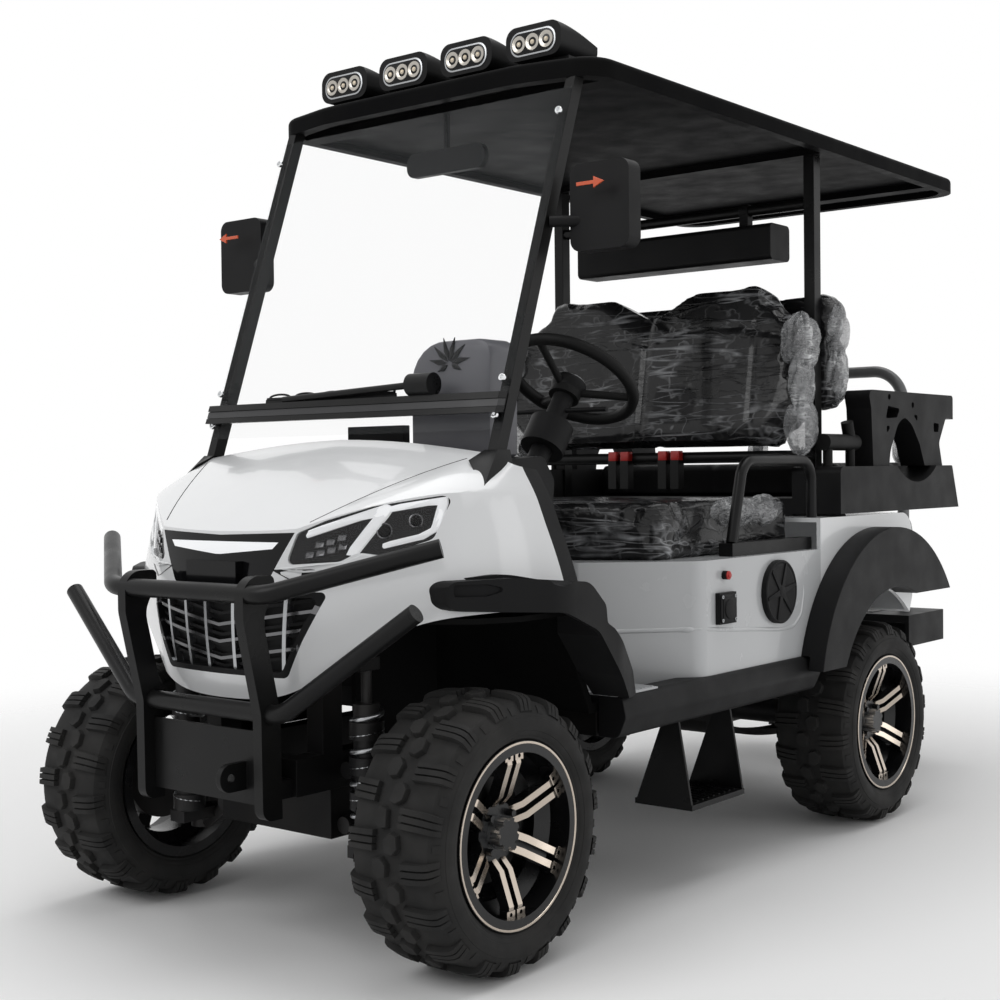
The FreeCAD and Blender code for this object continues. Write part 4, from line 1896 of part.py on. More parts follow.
def spoke():
    """One spoke about the X axis, standing along Z: two bars with a channel between, ending in pads with holes."""
    face = d.rim_width / 2 - d.spoke_face_depth
    hub_face = face - d.dish_depth
    start, end = d.hub_radius - d.rim_wall, d.bead_seat_radius - d.rim_wall * 0.6
    knee, shoulder, thick = d.spoke_knee_radius, d.spoke_shoulder_radius, d.spoke_thickness
    crest = hub_face + d.dish_depth * 0.45

    def bar(y0, y1, depth, low, high):
        upper = [(start, hub_face - depth), (knee, crest - depth), (shoulder, face - depth),
                 (end, face - d.rim_wall / 2 - depth)]
        lower = [(start, hub_face - thick), (knee, crest - thick * 1.1), (shoulder, face - thick),
                 (end, face - thick)]
        points = [(x, r) for r, x in upper if low <= r <= high] + [(x, r) for r,
                                                                   x in reversed(lower) if low <= r <= high]
        wire = Part.makePolygon([Vector(x, y0, r) for x, r in points + points[:1]])
        return Part.Face(wire).extrude(Vector(0, y1 - y0, 0))

    inner, outer = d.spoke_channel / 2, d.spoke_channel / 2 + d.spoke_bar_width
    parts = [bar(-inner, inner, thick - d.spoke_web_thickness, start, shoulder)]
    for sign in (-1, 1):
        low, high = sorted((sign * inner, sign * outer))
        parts.append(bar(low, high, 0, start, end))
        low, high = sorted((sign * inner / 2, sign * (inner / 2 + d.spoke_pad_width)))
        pad = cuboid(face - thick * 0.6, face, low, high, end - d.spoke_pad_length, end)
        at = Vector(0, (low + high) / 2, end - d.spoke_pad_length * 0.6)
        parts.append(pad)
        parts.append((at, "hole"))
    holes = [cylinder(d.spoke_pad_hole_radius, p[0],
                      p[0] + Vector(2 * d.rim_width, 0, 0)) for p in parts if isinstance(p, tuple)]
    return fused([p for p in parts if not isinstance(p, tuple)]).cut(Part.makeCompound(holes))


def hub_form():
    """The hub with its fluted cap and the wheel nuts."""
    face = d.rim_width / 2 - d.spoke_face_depth - d.dish_depth
    along = Vector(1, 0, 0)
    parts = [Part.makeCylinder(d.hub_radius, d.spoke_thickness, Vector(face - d.spoke_thickness, 0, 0),
                               along)]
    cap = Part.makeCylinder(d.hub_cap_radius, d.hub_cap_length, Vector(face, 0, 0), along)
    flute = d.hub_cap_radius * math.pi / d.hub_cap_flutes / 2
    for i in range(int(d.hub_cap_flutes)):
        at = spin(face + flute, d.hub_cap_radius, 2 * math.pi * i / d.hub_cap_flutes)
        cap = cap.cut(Part.makeCylinder(flute, d.hub_cap_length, at, along))
    parts.append(cap)
    for i in range(int(d.wheel_nuts)):
        at = spin(0, d.wheel_nut_circle_radius, 2 * math.pi * (i + 0.5) / d.wheel_nuts)
        hexagon = [at + spin(face - d.rim_wall, d.wheel_nut_radius, math.pi * k / 3) for k in range(6)]
        nut = Part.Face(Part.makePolygon(hexagon + hexagon[:1]))
        parts.append(nut.extrude(along * (d.wheel_nut_length + d.rim_wall)))
    return parts


def rim_form():
    """A rim about the X axis, facing +X: the barrel with its two lips, six twin-bar spokes and the hub."""
    half, wall = d.rim_width / 2, d.rim_wall
    lip = d.rim_lip_thickness
    seat = d.bead_seat_radius
    well, well_half = d.rim_well_radius, d.rim_well_width / 2
    half_profile = [(half - lip, seat), (half - lip, d.rim_lip_radius), (half, d.rim_lip_radius),
                    (half, seat - wall)]
    under = [(well_half + wall * 3, seat - wall), (well_half, well - wall)]
    over = [(well_half, well), (well_half + wall * 3, seat)]
    profile = over + half_profile + under
    profile += [(-x, r) for x, r in reversed(profile)]
    wire = Part.makePolygon([Vector(x, 0, r) for x, r in profile + profile[:1]])
    ring = Part.Face(wire).revolve(Vector(), Vector(1, 0, 0), 360)
    arms = []
    for i in range(6):
        arm = spoke()
        arm.rotate(Vector(), Vector(1, 0, 0), 60 * i)
        arms.append(arm)
    return fused([ring] + arms + hub_form())


def wheels():
    """Four rims and four tyres, each rim facing outward."""
    tyre, rim = tyre_form(), rim_form()
    for name, sign, y, track in (("front_left", 1, 0, d.track_front), ("front_right", -1, 0, d.track_front),
                                 ("rear_left", 1, d.wheelbase, d.track_rear), ("rear_right", -1,
                                                                               d.wheelbase, d.track_rear)):
        place = Vector(sign * track / 2, y, d.tyre_radius)
        for kind, form in (("tyre", tyre), ("rim", rim)):
            piece = form.copy() if sign > 0 else mirrored(form)
            piece.translate(place)
            shape_node(kind + "_" + name, piece)


def wiper():
    """The wiper arm with its motor, lying along the hinge bar."""
    points = windshield_line(-d.hinge_depth, d.hinge_low_z, d.hinge_low_z + d.hinge_height, d.hinge_depth)
    y, z = points[3][0] + d.hinge_depth / 6, points[3][1] + d.seat_gap
    heart = Vector(d.wiper_length / 2, y, z + d.wiper_motor_radius)
    motor = cylinder(d.wiper_motor_radius, heart, heart + Vector(d.wiper_motor_length, 0, 0))
    arm = cylinder(d.wiper_radius, Vector(-d.wiper_length / 2, y, z + d.wiper_radius), heart)
    pane = prism(side, windshield_line(-d.pane_thickness, d.hinge_low_z, d.roof_top_z - d.roof_height,
                                       d.pane_thickness), -d.pane_half_width, d.pane_half_width)
    return shape_node("wiper", fused([motor, arm]).cut(pane))


frame_rails()
front_arms()
front_coilovers()
steering_rack()
rear_axle()
rear_springs()
battery()
floor_sheet = floor_pan()
pedals(floor_sheet)
sills()
cowl = cowl_parts()
dash_node(cowl)
windshield(cowl)
wiper()
roof()
lamp_bar()
rear_posts()
mirrors()
seat_box()
rear_body()
flares(cowl)
front_cushion()
front_backrest()
seat_frame()
hip_restraints()
rear_seat_kit()
rear_seat_pads()
armrests()
handrails()
rear_step()
brush_guard()
side_steps()
arch_liners(cowl)
knuckles()
steering(floor_sheet)
wheels()

doc.recompute()
for thing in doc.Objects:
    if "Invalid" in thing.State or "Error" in thing.State:
        raise RuntimeError(thing.Label + " didn't compute")
for piece in nodes:
    if piece.Shape.isNull() or not piece.Shape.isValid():
        raise RuntimeError(piece.Label + " has a faulty shape")
    piece.Shape.exportStep("parts/" + piece.Label + ".step")
print(len(nodes), "pieces written")
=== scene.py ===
"""The finished look of a lifted golf cart, laid out as a small add-on.

Lengths are in millimetres with Y counted rearward from the front axle, and `place` turns them into the
frame's metres.
"""

import json
import math

import bmesh
import bpy
import mathutils
import numpy as np
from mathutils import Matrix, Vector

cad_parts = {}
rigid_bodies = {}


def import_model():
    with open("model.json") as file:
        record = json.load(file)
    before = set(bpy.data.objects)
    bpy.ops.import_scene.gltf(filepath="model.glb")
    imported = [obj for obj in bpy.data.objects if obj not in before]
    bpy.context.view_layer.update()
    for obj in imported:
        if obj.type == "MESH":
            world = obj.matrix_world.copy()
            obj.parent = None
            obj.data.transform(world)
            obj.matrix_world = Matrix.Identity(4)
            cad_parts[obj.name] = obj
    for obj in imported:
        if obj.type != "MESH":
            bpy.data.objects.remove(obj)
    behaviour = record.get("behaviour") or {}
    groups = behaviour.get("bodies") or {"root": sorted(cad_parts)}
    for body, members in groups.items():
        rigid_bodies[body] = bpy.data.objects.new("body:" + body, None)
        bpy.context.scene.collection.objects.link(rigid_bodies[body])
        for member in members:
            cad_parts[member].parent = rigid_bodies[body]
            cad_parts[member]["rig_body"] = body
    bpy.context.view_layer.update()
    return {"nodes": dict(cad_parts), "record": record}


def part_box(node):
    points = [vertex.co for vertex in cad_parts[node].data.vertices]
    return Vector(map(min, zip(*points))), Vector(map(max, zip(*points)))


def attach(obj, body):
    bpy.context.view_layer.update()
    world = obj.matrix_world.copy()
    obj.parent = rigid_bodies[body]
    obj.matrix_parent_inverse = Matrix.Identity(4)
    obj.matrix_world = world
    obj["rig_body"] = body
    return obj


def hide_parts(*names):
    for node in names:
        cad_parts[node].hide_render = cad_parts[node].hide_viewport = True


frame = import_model()

bl_info = {
    "name": "Lifted golf cart",
    "version": (1, 0, 0),
    "blender": (4, 5, 0),
    "location": "View3D > Sidebar > Cart",
    "description": "Builds the finished surfaces, materials, light and camera of a lifted golf cart",
    "category": "Object",
}

AXLE_Y = -1.176
WHEELBASE = 1737
AXLE_HEIGHT = 292
MERGE_DISTANCE = 2e-5
FLAT_ANGLE = math.radians(0.6)
MADE = {}


def place(points):
    """Millimetres from the front axle to metres in the frame."""
    return np.asarray(points, float) * 0.001 + np.array([0.0, AXLE_Y, 0.0])


def from_axle(points):
    """Metres in the frame to millimetres from the front axle."""
    return (np.array(points) - np.array([0.0, AXLE_Y, 0.0])) * 1000


def node_box(node):
    """The lowest and highest corner of a node, in millimetres from the front axle."""
    low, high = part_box(node)
    return from_axle(low), from_axle(high)


# Shapes from arrays

def unit(vectors):
    """Each vector at length one."""
    return vectors / np.maximum(np.linalg.norm(vectors, axis=-1, keepdims=True), 1e-9)


def grid_quads(rows, columns, wrap_columns=False):
    """Quads between neighbouring points of a grid that is counted row by row."""
    i = np.arange(rows - 1)[:, None]
    j = np.arange(columns if wrap_columns else columns - 1)[None, :]
    j_next = (j + 1) % columns
    corners = (i * columns + j, i * columns + j_next, (i + 1) * columns + j_next, (i + 1) * columns + j)
    return np.stack(corners, -1).reshape(-1, 4).tolist()


class Form:
    """Points, faces and finish numbers that are gathered before they go into one mesh."""

    def __init__(self):
        self.points = []
        self.faces = []
        self.finishes = []
        self.count = 0

    def add(self, points, faces, finish=0):
        """Takes in more points, with faces that count from the first of them."""
        points = np.asarray(points, float).reshape(-1, 3)
        self.points.append(points)
        self.faces += [[i + self.count for i in face] for face in faces]
        self.finishes += [finish] * len(faces)
        self.count += len(points)

    def add_rings(self, rings, finish=0, low=False, high=True):
        """Takes in rings that are joined to a tube, with a face over its low or high end where asked."""
        rings = np.asarray(rings)
        count, sides = rings.shape[:2]
        faces = grid_quads(count, sides, True)
        if low:
            faces.append(list(range(sides)))
        if high:
            faces.append(list(range((count - 1) * sides, count * sides)))
        self.add(rings, faces, finish)


def mirrored_pair(make):
    """Runs a maker for the left side, then adds its mirror image for the right."""
    form = Form()
    make(form)
    form.points.append(np.concatenate(form.points) * [-1.0, 1.0, 1.0])
    form.faces += [[i + form.count for i in reversed(face)] for face in form.faces]
    form.finishes *= 2
    return form


def merge_mesh(mesh, turn_outward, flat=False):
    """Joins doubled points, and turns faces outward or clears edges between level faces where asked."""
    work = bmesh.new()
    work.from_mesh(mesh)
    bmesh.ops.remove_doubles(work, verts=work.verts, dist=MERGE_DISTANCE)
    if turn_outward:
        bmesh.ops.recalc_face_normals(work, faces=work.faces)
    if flat:
        bmesh.ops.dissolve_limit(work, angle_limit=FLAT_ANGLE, verts=work.verts, edges=work.edges)
    work.to_mesh(mesh)
    work.free()


def dress(name, mesh, body, materials, hides, crease):
    """An object of a mesh, smooth but for its creases, on a body and in place of the nodes it hides."""
    mesh.shade_smooth()
    if crease < 180:
        mesh.set_sharp_from_angle(angle=math.radians(crease))
    thing = bpy.data.objects.new(name, mesh)
    bpy.context.collection.objects.link(thing)
    for material in materials:
        mesh.materials.append(MADE[material])
    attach(thing, body)
    if hides:
        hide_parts(*hides)
    return thing


def make_piece(name, form, materials, crease, slot=None, body="chassis", hides=()):
    """One mesh from a form, merged and with its faces outward."""
    mesh = bpy.data.meshes.new(name)
    mesh.from_pydata(place(np.concatenate(form.points)).tolist(), [], form.faces)
    mesh.polygons.foreach_set("material_index", form.finishes)
    merge_mesh(mesh, True)
    dress(name, mesh, body, materials, hides, crease)


def make_pair(name, make, *rest):
    """One mesh of a maker's left side and its mirror image."""
    make_piece(name, mirrored_pair(make), *rest)


def body_of_node(node):
    return frame["nodes"][node]["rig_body"]


def read_vectors(elements, key):
    """A vector property of a mesh's elements, one row each."""
    values = np.empty(len(elements) * 3)
    elements.foreach_get(key, values)
    return values.reshape(-1, 3)


def finished_copy(node, materials, crease=30, bevel=0.0, pick=None):
    """A merged copy of a node, smooth and softened, with more than one finish where `pick` says so."""
    mesh = frame["nodes"][node].data.copy()
    mesh.materials.clear()
    for name in ("custom_normal", "sharp_edge", "sharp_face"):
        layer = mesh.attributes.get(name)
        if layer is not None:
            mesh.attributes.remove(layer)
    merge_mesh(mesh, False, bevel > 0)
    finishes = np.zeros(len(mesh.polygons))
    if pick is not None:
        centres, normals = read_vectors(mesh.polygons, "center"), read_vectors(mesh.polygons, "normal")
        finishes = pick(from_axle(centres), normals)
    mesh.polygons.foreach_set("material_index", finishes.astype(np.int32))
    thing = dress(node + "_finish", mesh, body_of_node(node), materials, (node,), 180 if bevel else crease)
    if bevel:
        soft = thing.modifiers.new("soft edges", "BEVEL")
        soft.width = bevel * 0.001
        soft.segments = 2
        soft.limit_method = "ANGLE"
        soft.angle_limit = math.radians(crease)
        soft.harden_normals = False
        weighted = thing.modifiers.new("even shading", "WEIGHTED_NORMAL")
        weighted.keep_sharp = False


def rectangle(low_a, low_b, high_a, high_b):
    """An outline with its sides along the two axes."""
    return np.array([(low_a, low_b), (high_a, low_b), (high_a, high_b), (low_a, high_b)], float)


def rounded_outline(points, radii, steps=5):
    """A polygon's corners turned into arcs, each between the points where it touches the two sides."""
    points = np.asarray(points, float)
    radii = np.broadcast_to(np.asarray(radii, float), (len(points),))
    to_last, to_next = unit(np.roll(points, 1, 0) - points), unit(np.roll(points, -1, 0) - points)
    half = np.arccos(np.clip((to_last * to_next).sum(1), -0.999999, 0.999999)) / 2
    reach = (radii / np.tan(half))[:, None]
    centre = points + unit(to_last + to_next) * (radii / np.sin(half))[:, None]
    first, last = points + to_last * reach - centre, points + to_next * reach - centre
    t = np.linspace(0, 1, steps)[None, :, None]
    arc = unit(first[:, None] * (1 - t) + last[:, None] * t) * radii[:, None, None] + centre[:, None]
    return arc.reshape(-1, 2)


def divided_outline(outline, pieces):
    """An outline with each of its sides cut into equal pieces."""
    flat = np.asarray(outline, float)
    ahead = np.roll(flat, -1, 0) - flat
    return np.concatenate([flat + ahead * t for t in np.linspace(0, 1, pieces + 1)[:-1]], 1).reshape(-1, 2)


def inset_outline(outline, distance):
    """Every point of an outline moved inward by a distance, along the bisector of its sides."""
    ahead = np.roll(outline, -1, 0)
    area = np.sum(outline[:, 0] * ahead[:, 1] - ahead[:, 0] * outline[:, 1])
    before, after = unit(outline - np.roll(outline, 1, 0)), unit(ahead - outline)
    left = unit(np.stack([-(before + after)[:, 1], (before + after)[:, 0]], -1))
    return outline + left * ((1 if area > 0 else -1) * distance)


def across_x(points, height):
    return np.stack([np.full(len(points), height), points[:, 0], points[:, 1]], -1)


def across_y(points, height):
    return np.stack([points[:, 0], np.full(len(points), height), points[:, 1]], -1)


def across_z(points, height):
    return np.stack([points[:, 0], points[:, 1], np.full(len(points), height)], -1)


def slab(form, outline, spread, low, high, soft, finish=0):
    """A flat form: the outline carried from low to high, with quarter rounds of radius `soft` at both rims.

    `spread` turns outline points and a height into space points.
    """
    turn = np.linspace(0, math.pi / 2, 3)
    insets = soft * (1 - np.sin(turn))
    rise = soft * (1 - np.cos(turn))
    heights = np.concatenate([low + rise, (high - rise)[::-1]])
    insets = np.concatenate([insets, insets[::-1]])
    form.add_rings([spread(inset_outline(outline, i), h) for i, h in zip(insets, heights)], finish, True)


def circle(count, across, third):
    """Points evenly round a circle of radius one between two directions."""
    a = np.linspace(0, 2 * math.pi, count, endpoint=False)[:, None]
    return np.cos(a) * across + np.sin(a) * third


def turned(form, profile, centre, axis, sides=32, finish=0):
    """A profile of (along, radius) pairs spun about an axis; it closes where the radius is zero."""
    profile = np.asarray(profile, float)
    axis = unit(np.asarray(axis, float))
    across = unit(np.cross(axis, [0.0, 0.0, 1.0] if abs(axis[2]) < 0.9 else [1.0, 0.0, 0.0]))
    ring = circle(sides, across, np.cross(axis, across))
    points = np.asarray(centre, float) + profile[:, 0, None, None] * axis + profile[:, 1, None, None] * ring
    form.add_rings(points, finish, False, False)


def carried(form, path, radius, sides, up):
    """A round section carried along a path, square to it and held level by `up`."""
    path = np.asarray(path, float)
    along = unit(np.gradient(path, axis=0))
    flat = unit(np.cross(along, np.asarray(up, float)))
    ring = circle(sides, flat[:, None], np.cross(flat, along)[:, None])
    form.add_rings(path[:, None] + ring * radius, 0, True)


# Materials

def set_inputs(tree, node, inputs):
    """Gives each input of a node a value, or joins it to a socket."""
    for name, value in inputs.items():
        if isinstance(value, bpy.types.NodeSocket):
            tree.links.new(value, node.inputs[name])
        else:
            node.inputs[name].default_value = value


def add_node(tree, kind, inputs=None, **settings):
    """A shader node with its settings and inputs."""
    node = tree.nodes.new("ShaderNode" + kind)
    for name, value in settings.items():
        setattr(node, name, value)
    set_inputs(tree, node, inputs or {})
    return node


def add_group(tree, group, inputs):
    """The output of a node group with its inputs."""
    return add_node(tree, "Group", inputs, node_tree=group).outputs[0]


def in_object(tree):
    """The object's own coordinates."""
    return add_node(tree, "TexCoord").outputs["Object"]


def remap(tree, value, given=(0.0, 1.0), wanted=(0.0, 1.0), **settings):
    """A value carried from one range to another, and held within it."""
    ranges = {"Value": value, "From Min": given[0], "From Max": given[1],
              "To Min": wanted[0], "To Max": wanted[1]}
    return add_node(tree, "MapRange", ranges, **settings).outputs["Result"]


def relief(tree, height, strength, distance):
    """The normal of a surface with a relief of a depth in metres."""
    inputs = {"Height": height, "Strength": strength, "Distance": distance}
    return add_node(tree, "Bump", inputs).outputs["Normal"]


def combine(tree, operation, first, second):
    """One number out of two."""
    return add_node(tree, "Math", {0: first, 1: second}, operation=operation).outputs["Value"]


def object_noise(tree, scale, detail):
    """Noise in the object's own coordinates."""
    inputs = {"Vector": in_object(tree), "Scale": scale, "Detail": detail}
    return add_node(tree, "TexNoise", inputs).outputs["Fac"]


def new_group(groups, name, inputs, output, kind):
    """An empty shader node group with number and colour inputs and one output."""
    tree = bpy.data.node_groups.new(name, "ShaderNodeTree")
    for label, default in inputs.items():
        socket_type = "NodeSocketColor" if isinstance(default, tuple) else "NodeSocketFloat"
        tree.interface.new_socket(name=label, in_out="INPUT", socket_type=socket_type).default_value = default
    tree.interface.new_socket(name=output, in_out="OUTPUT", socket_type="NodeSocket" + kind)
    groups[name] = tree
    return tree, tree.nodes.new("NodeGroupInput").outputs, tree.nodes.new("NodeGroupOutput").inputs[output]


GRAIN_DEPTH, PEBBLE_DEPTH, FOLD_DEPTH = 0.0006, 0.0008, 0.004
FOLD_LAYERS = (((0.35, 1.5, 4.4), 1.0), ((0.8, 1.3, 6.5), 0.75), ((2.4, 3.0, 3.6), 0.4))


def make_groups():
    """Grain is a fine relief, mottle a value that wanders, tint a darker colour, crinkle the folds of film."""
    groups = {}
    tree, given, out = new_group(groups, "grain", {"Scale": 400.0, "Depth": 0.1}, "Normal", "Vector")
    tree.links.new(relief(tree, object_noise(tree, given["Scale"], 3.0), given["Depth"], GRAIN_DEPTH), out)

    tree, given, out = new_group(groups, "mottle", {"Scale": 6.0, "Low": 0.3, "High": 0.5}, "Value", "Float")
    noise = object_noise(tree, given["Scale"], 5.0)
    tree.links.new(remap(tree, noise, (0.3, 0.7), (given["Low"], given["High"])), out)

    inputs = {"Colour": (0.5, 0.5, 0.5, 1.0), "Other": (0.4, 0.4, 0.4, 1.0), "Scale": 4.0}
    tree, given, out = new_group(groups, "tint", inputs, "Colour", "Color")
    share = remap(tree, object_noise(tree, given["Scale"], 6.0), (0.35, 0.75))
    inputs = {"Factor": share, "A": given["Colour"], "B": given["Other"]}
    tree.links.new(add_node(tree, "Mix", inputs, data_type="RGBA").outputs["Result"], out)

    tree, given, out = new_group(groups, "crinkle", {"Scale": 5.0, "Sharpness": 0.03}, "Value", "Float")
    last = None
    for stretch, weight in FOLD_LAYERS:
        turn = (0.1, 0.16 * (stretch[0] - 0.9), 0.1)
        inputs = {"Vector": in_object(tree), "Scale": stretch, "Rotation": turn}
        spot = add_node(tree, "Mapping", inputs).outputs["Vector"]
        inputs = {"Vector": spot, "Scale": given["Scale"], "Detail": 2.0, "Distortion": 0.35}
        away = combine(tree, "SUBTRACT", add_node(tree, "TexNoise", inputs).outputs["Fac"], 0.5)
        size = add_node(tree, "Math", {0: away}, operation="ABSOLUTE").outputs["Value"]
        ridge = remap(tree, size, (0.0, given["Sharpness"]), (weight, 0.0))
        last = ridge if last is None else combine(tree, "MAXIMUM", last, ridge)
    tree.links.new(last, out)
    return groups


def opaque(colour):
    return tuple(colour) + (1.0,)


def new_material(name):
    """A material with its node tree and its shader."""
    material = bpy.data.materials.new(name)
    material.use_nodes = True
    return material, material.node_tree, material.node_tree.nodes["Principled BSDF"]


def finish(groups, name, colour, rough, other=None, metallic=0.0, grain=0.1, grain_scale=500.0, coat=0.0,
           specular=0.5, tint_scale=5.0, alpha=1.0, glow=0.0):
    """A material out of the groups: tinted colour, wandering roughness and fine grain."""
    MADE[name], tree, shader = new_material(name)
    other = other or tuple(c * 0.82 for c in colour)
    tint = {"Colour": opaque(colour), "Other": opaque(other), "Scale": tint_scale}
    mottle = {"Low": rough[0], "High": rough[1], "Scale": tint_scale * 2.3}
    set_inputs(tree, shader, {
        "Base Color": add_group(tree, groups["tint"], tint),
        "Roughness": add_group(tree, groups["mottle"], mottle),
        "Normal": add_group(tree, groups["grain"], {"Scale": grain_scale, "Depth": grain}),
        "Metallic": metallic, "Coat Weight": coat, "Coat Roughness": 0.04, "Specular IOR Level": specular,
        "Alpha": alpha,
    })
    if glow > 0:
        set_inputs(tree, shader, {"Emission Color": opaque((1.0, 1.0, 1.0)), "Emission Strength": glow})


def pebble_relief(name, scale, depth):
    """Replaces a material's grain by the ridges between the cells of a Voronoi pattern, as on leather."""
    tree = MADE[name].node_tree
    spot = in_object(tree)
    warp = add_node(tree, "TexNoise", {"Vector": spot, "Scale": scale * 0.6}).outputs["Color"]
    inputs = {0: warp, 1: (1.2 / scale,) * 3, 2: spot}
    moved = add_node(tree, "VectorMath", inputs, operation="MULTIPLY_ADD").outputs["Vector"]
    inputs = {"Vector": moved, "Scale": scale}
    cells = add_node(tree, "TexVoronoi", inputs, feature="DISTANCE_TO_EDGE").outputs["Distance"]
    normal = relief(tree, remap(tree, cells, (0.0, 0.14)), depth, PEBBLE_DEPTH)
    set_inputs(tree, tree.nodes["Principled BSDF"], {"Normal": normal})


def film_relief_and_painted_highlights(groups, name, scale, sharp, bright, share, depth, see_through=None):
    """Crinkled clear film: its folds are painted in its colour as thin pale lines of highlight, in broad
    patches of painted sheen, and stand up in the relief.
    """
    tree = MADE[name].node_tree
    shader = tree.nodes["Principled BSDF"]
    folds = add_group(tree, groups["crinkle"], {"Scale": scale, "Sharpness": sharp})
    # Broad noise patches of painted sheen, within which the folds' painted highlights show.
    painted_sheen_patches = add_group(tree, groups["mottle"], {"Scale": scale * 1.7, "Low": -0.7 * share, "High": share})
    level = combine(tree, "MULTIPLY", folds, painted_sheen_patches)
    base = shader.inputs["Base Color"].links[0].from_socket
    # The pale colour mixed in along the folds is a painted highlight.
    mix = add_node(tree, "Mix", {"Factor": level, "A": base, "B": opaque(bright)}, data_type="RGBA")
    normal = relief(tree, folds, depth, FOLD_DEPTH)
    set_inputs(tree, shader, {"Base Color": mix.outputs["Result"], "Normal": normal})
    if see_through is not None:
        # The film is less see-through where its painted highlights lie.
        set_inputs(tree, shader, {"Alpha": remap(tree, level, wanted=see_through)})


FINISHES = {
    "black_plastic": ((0.009, 0.009, 0.0095), (0.42, 0.56), dict(grain=0.3, grain_scale=900, specular=0.12)),
    "inner_black": ((0.006, 0.006, 0.006), (0.6, 0.75), dict(grain=0.2, specular=0.05)),
    "frame_black": ((0.007, 0.007, 0.0075), (0.4, 0.54),
                    dict(other=(0.012, 0.011, 0.01), grain=0.15, specular=0.1)),
    "black_metal": ((0.006, 0.006, 0.0065), (0.26, 0.4),
                    dict(other=(0.009, 0.009, 0.0085), grain=0.14, grain_scale=1200, specular=0.16)),
    "gloss_black": ((0.004, 0.004, 0.0045), (0.08, 0.14), dict(grain=0.02, specular=0.2)),
    "roof_black": ((0.006, 0.006, 0.0065), (0.34, 0.48),
                   dict(other=(0.009, 0.009, 0.009), grain=0.25, grain_scale=700, specular=0.006)),
    "seat_black": ((0.008, 0.008, 0.0085), (0.4, 0.54), dict(other=(0.011, 0.011, 0.012), specular=0.15)),
    "seat_film": ((0.007, 0.007, 0.0075), (0.2, 0.34),
                  dict(other=(0.02, 0.02, 0.021), coat=0.3, tint_scale=7.0, specular=0.16)),
    "tyre": ((0.016, 0.016, 0.016), (0.66, 0.84),
             dict(other=(0.026, 0.025, 0.024), grain=0.4, grain_scale=600, tint_scale=9.0, specular=0.2)),
    "rim_black": ((0.006, 0.006, 0.0065), (0.2, 0.34), dict(grain=0.06, specular=0.4)),
    "chrome": ((0.82, 0.83, 0.84), (0.06, 0.14), dict(grain=0.02, metallic=1.0)),
    "steel": ((0.42, 0.43, 0.44), (0.26, 0.4), dict(grain=0.1, metallic=1.0)),
    "grey_tube": ((0.16, 0.162, 0.165), (0.24, 0.36), dict(grain=0.08, specular=0.4)),
    "running_gear": ((0.012, 0.012, 0.013), (0.4, 0.55),
                     dict(other=(0.026, 0.024, 0.022), grain=0.2, metallic=0.3, specular=0.25)),
    "battery_case": ((0.02, 0.02, 0.022), (0.45, 0.6), dict(grain=0.2, specular=0.2)),
    "grip_black": ((0.007, 0.007, 0.007), (0.48, 0.62), dict(grain=0.4, grain_scale=800, specular=0.14)),
    "lamp_lens": ((0.006, 0.006, 0.007), (0.08, 0.14), dict(grain=0.02, specular=0.35)),
    "light_guide": ((0.85, 0.87, 0.9), (0.15, 0.25), dict(grain=0.02, coat=1.0, glow=0.35)),
    "lamp_warm": ((0.75, 0.62, 0.42), (0.1, 0.2), dict(grain=0.02, glow=0.1)),
    "red_lens": ((0.3, 0.008, 0.008), (0.1, 0.18), dict(grain=0.04, coat=0.6)),
    "red_plastic": ((0.5, 0.02, 0.015), (0.3, 0.4), dict(grain=0.1)),
    "orange_mark": ((0.75, 0.1, 0.02), (0.2, 0.3), dict(grain=0.02, coat=0.3)),
    "floor_silver": ((0.5, 0.51, 0.52), (0.3, 0.45), dict(grain=0.1, specular=0.4)),
    "pod_bowl": ((0.5, 0.47, 0.42), (0.14, 0.24), dict(grain=0.04, metallic=0.6, glow=0.02)),
    "dark_chrome": ((0.16, 0.16, 0.165), (0.18, 0.3), dict(grain=0.04, metallic=1.0)),
    "hood_grey": ((0.13, 0.13, 0.145), (0.3, 0.42), dict(grain=0.1, specular=0.3)),
    "hinge_grey": ((0.03, 0.03, 0.032), (0.3, 0.42), dict(grain=0.1, specular=0.3)),
    "screen_dark": ((0.01, 0.011, 0.013), (0.05, 0.1), dict(grain=0.01)),
    "clear_pane": ((0.35, 0.37, 0.38), (0.02, 0.05), dict(grain=0.02, grain_scale=30, alpha=0.03)),
    "lens_cover": ((0.03, 0.03, 0.03), (0.02, 0.04), dict(grain=0.01, alpha=0.12)),
    "wrap_film": ((0.42, 0.43, 0.44), (0.12, 0.22), dict(other=(0.2, 0.2, 0.21), coat=0.6, tint_scale=14.0)),
}


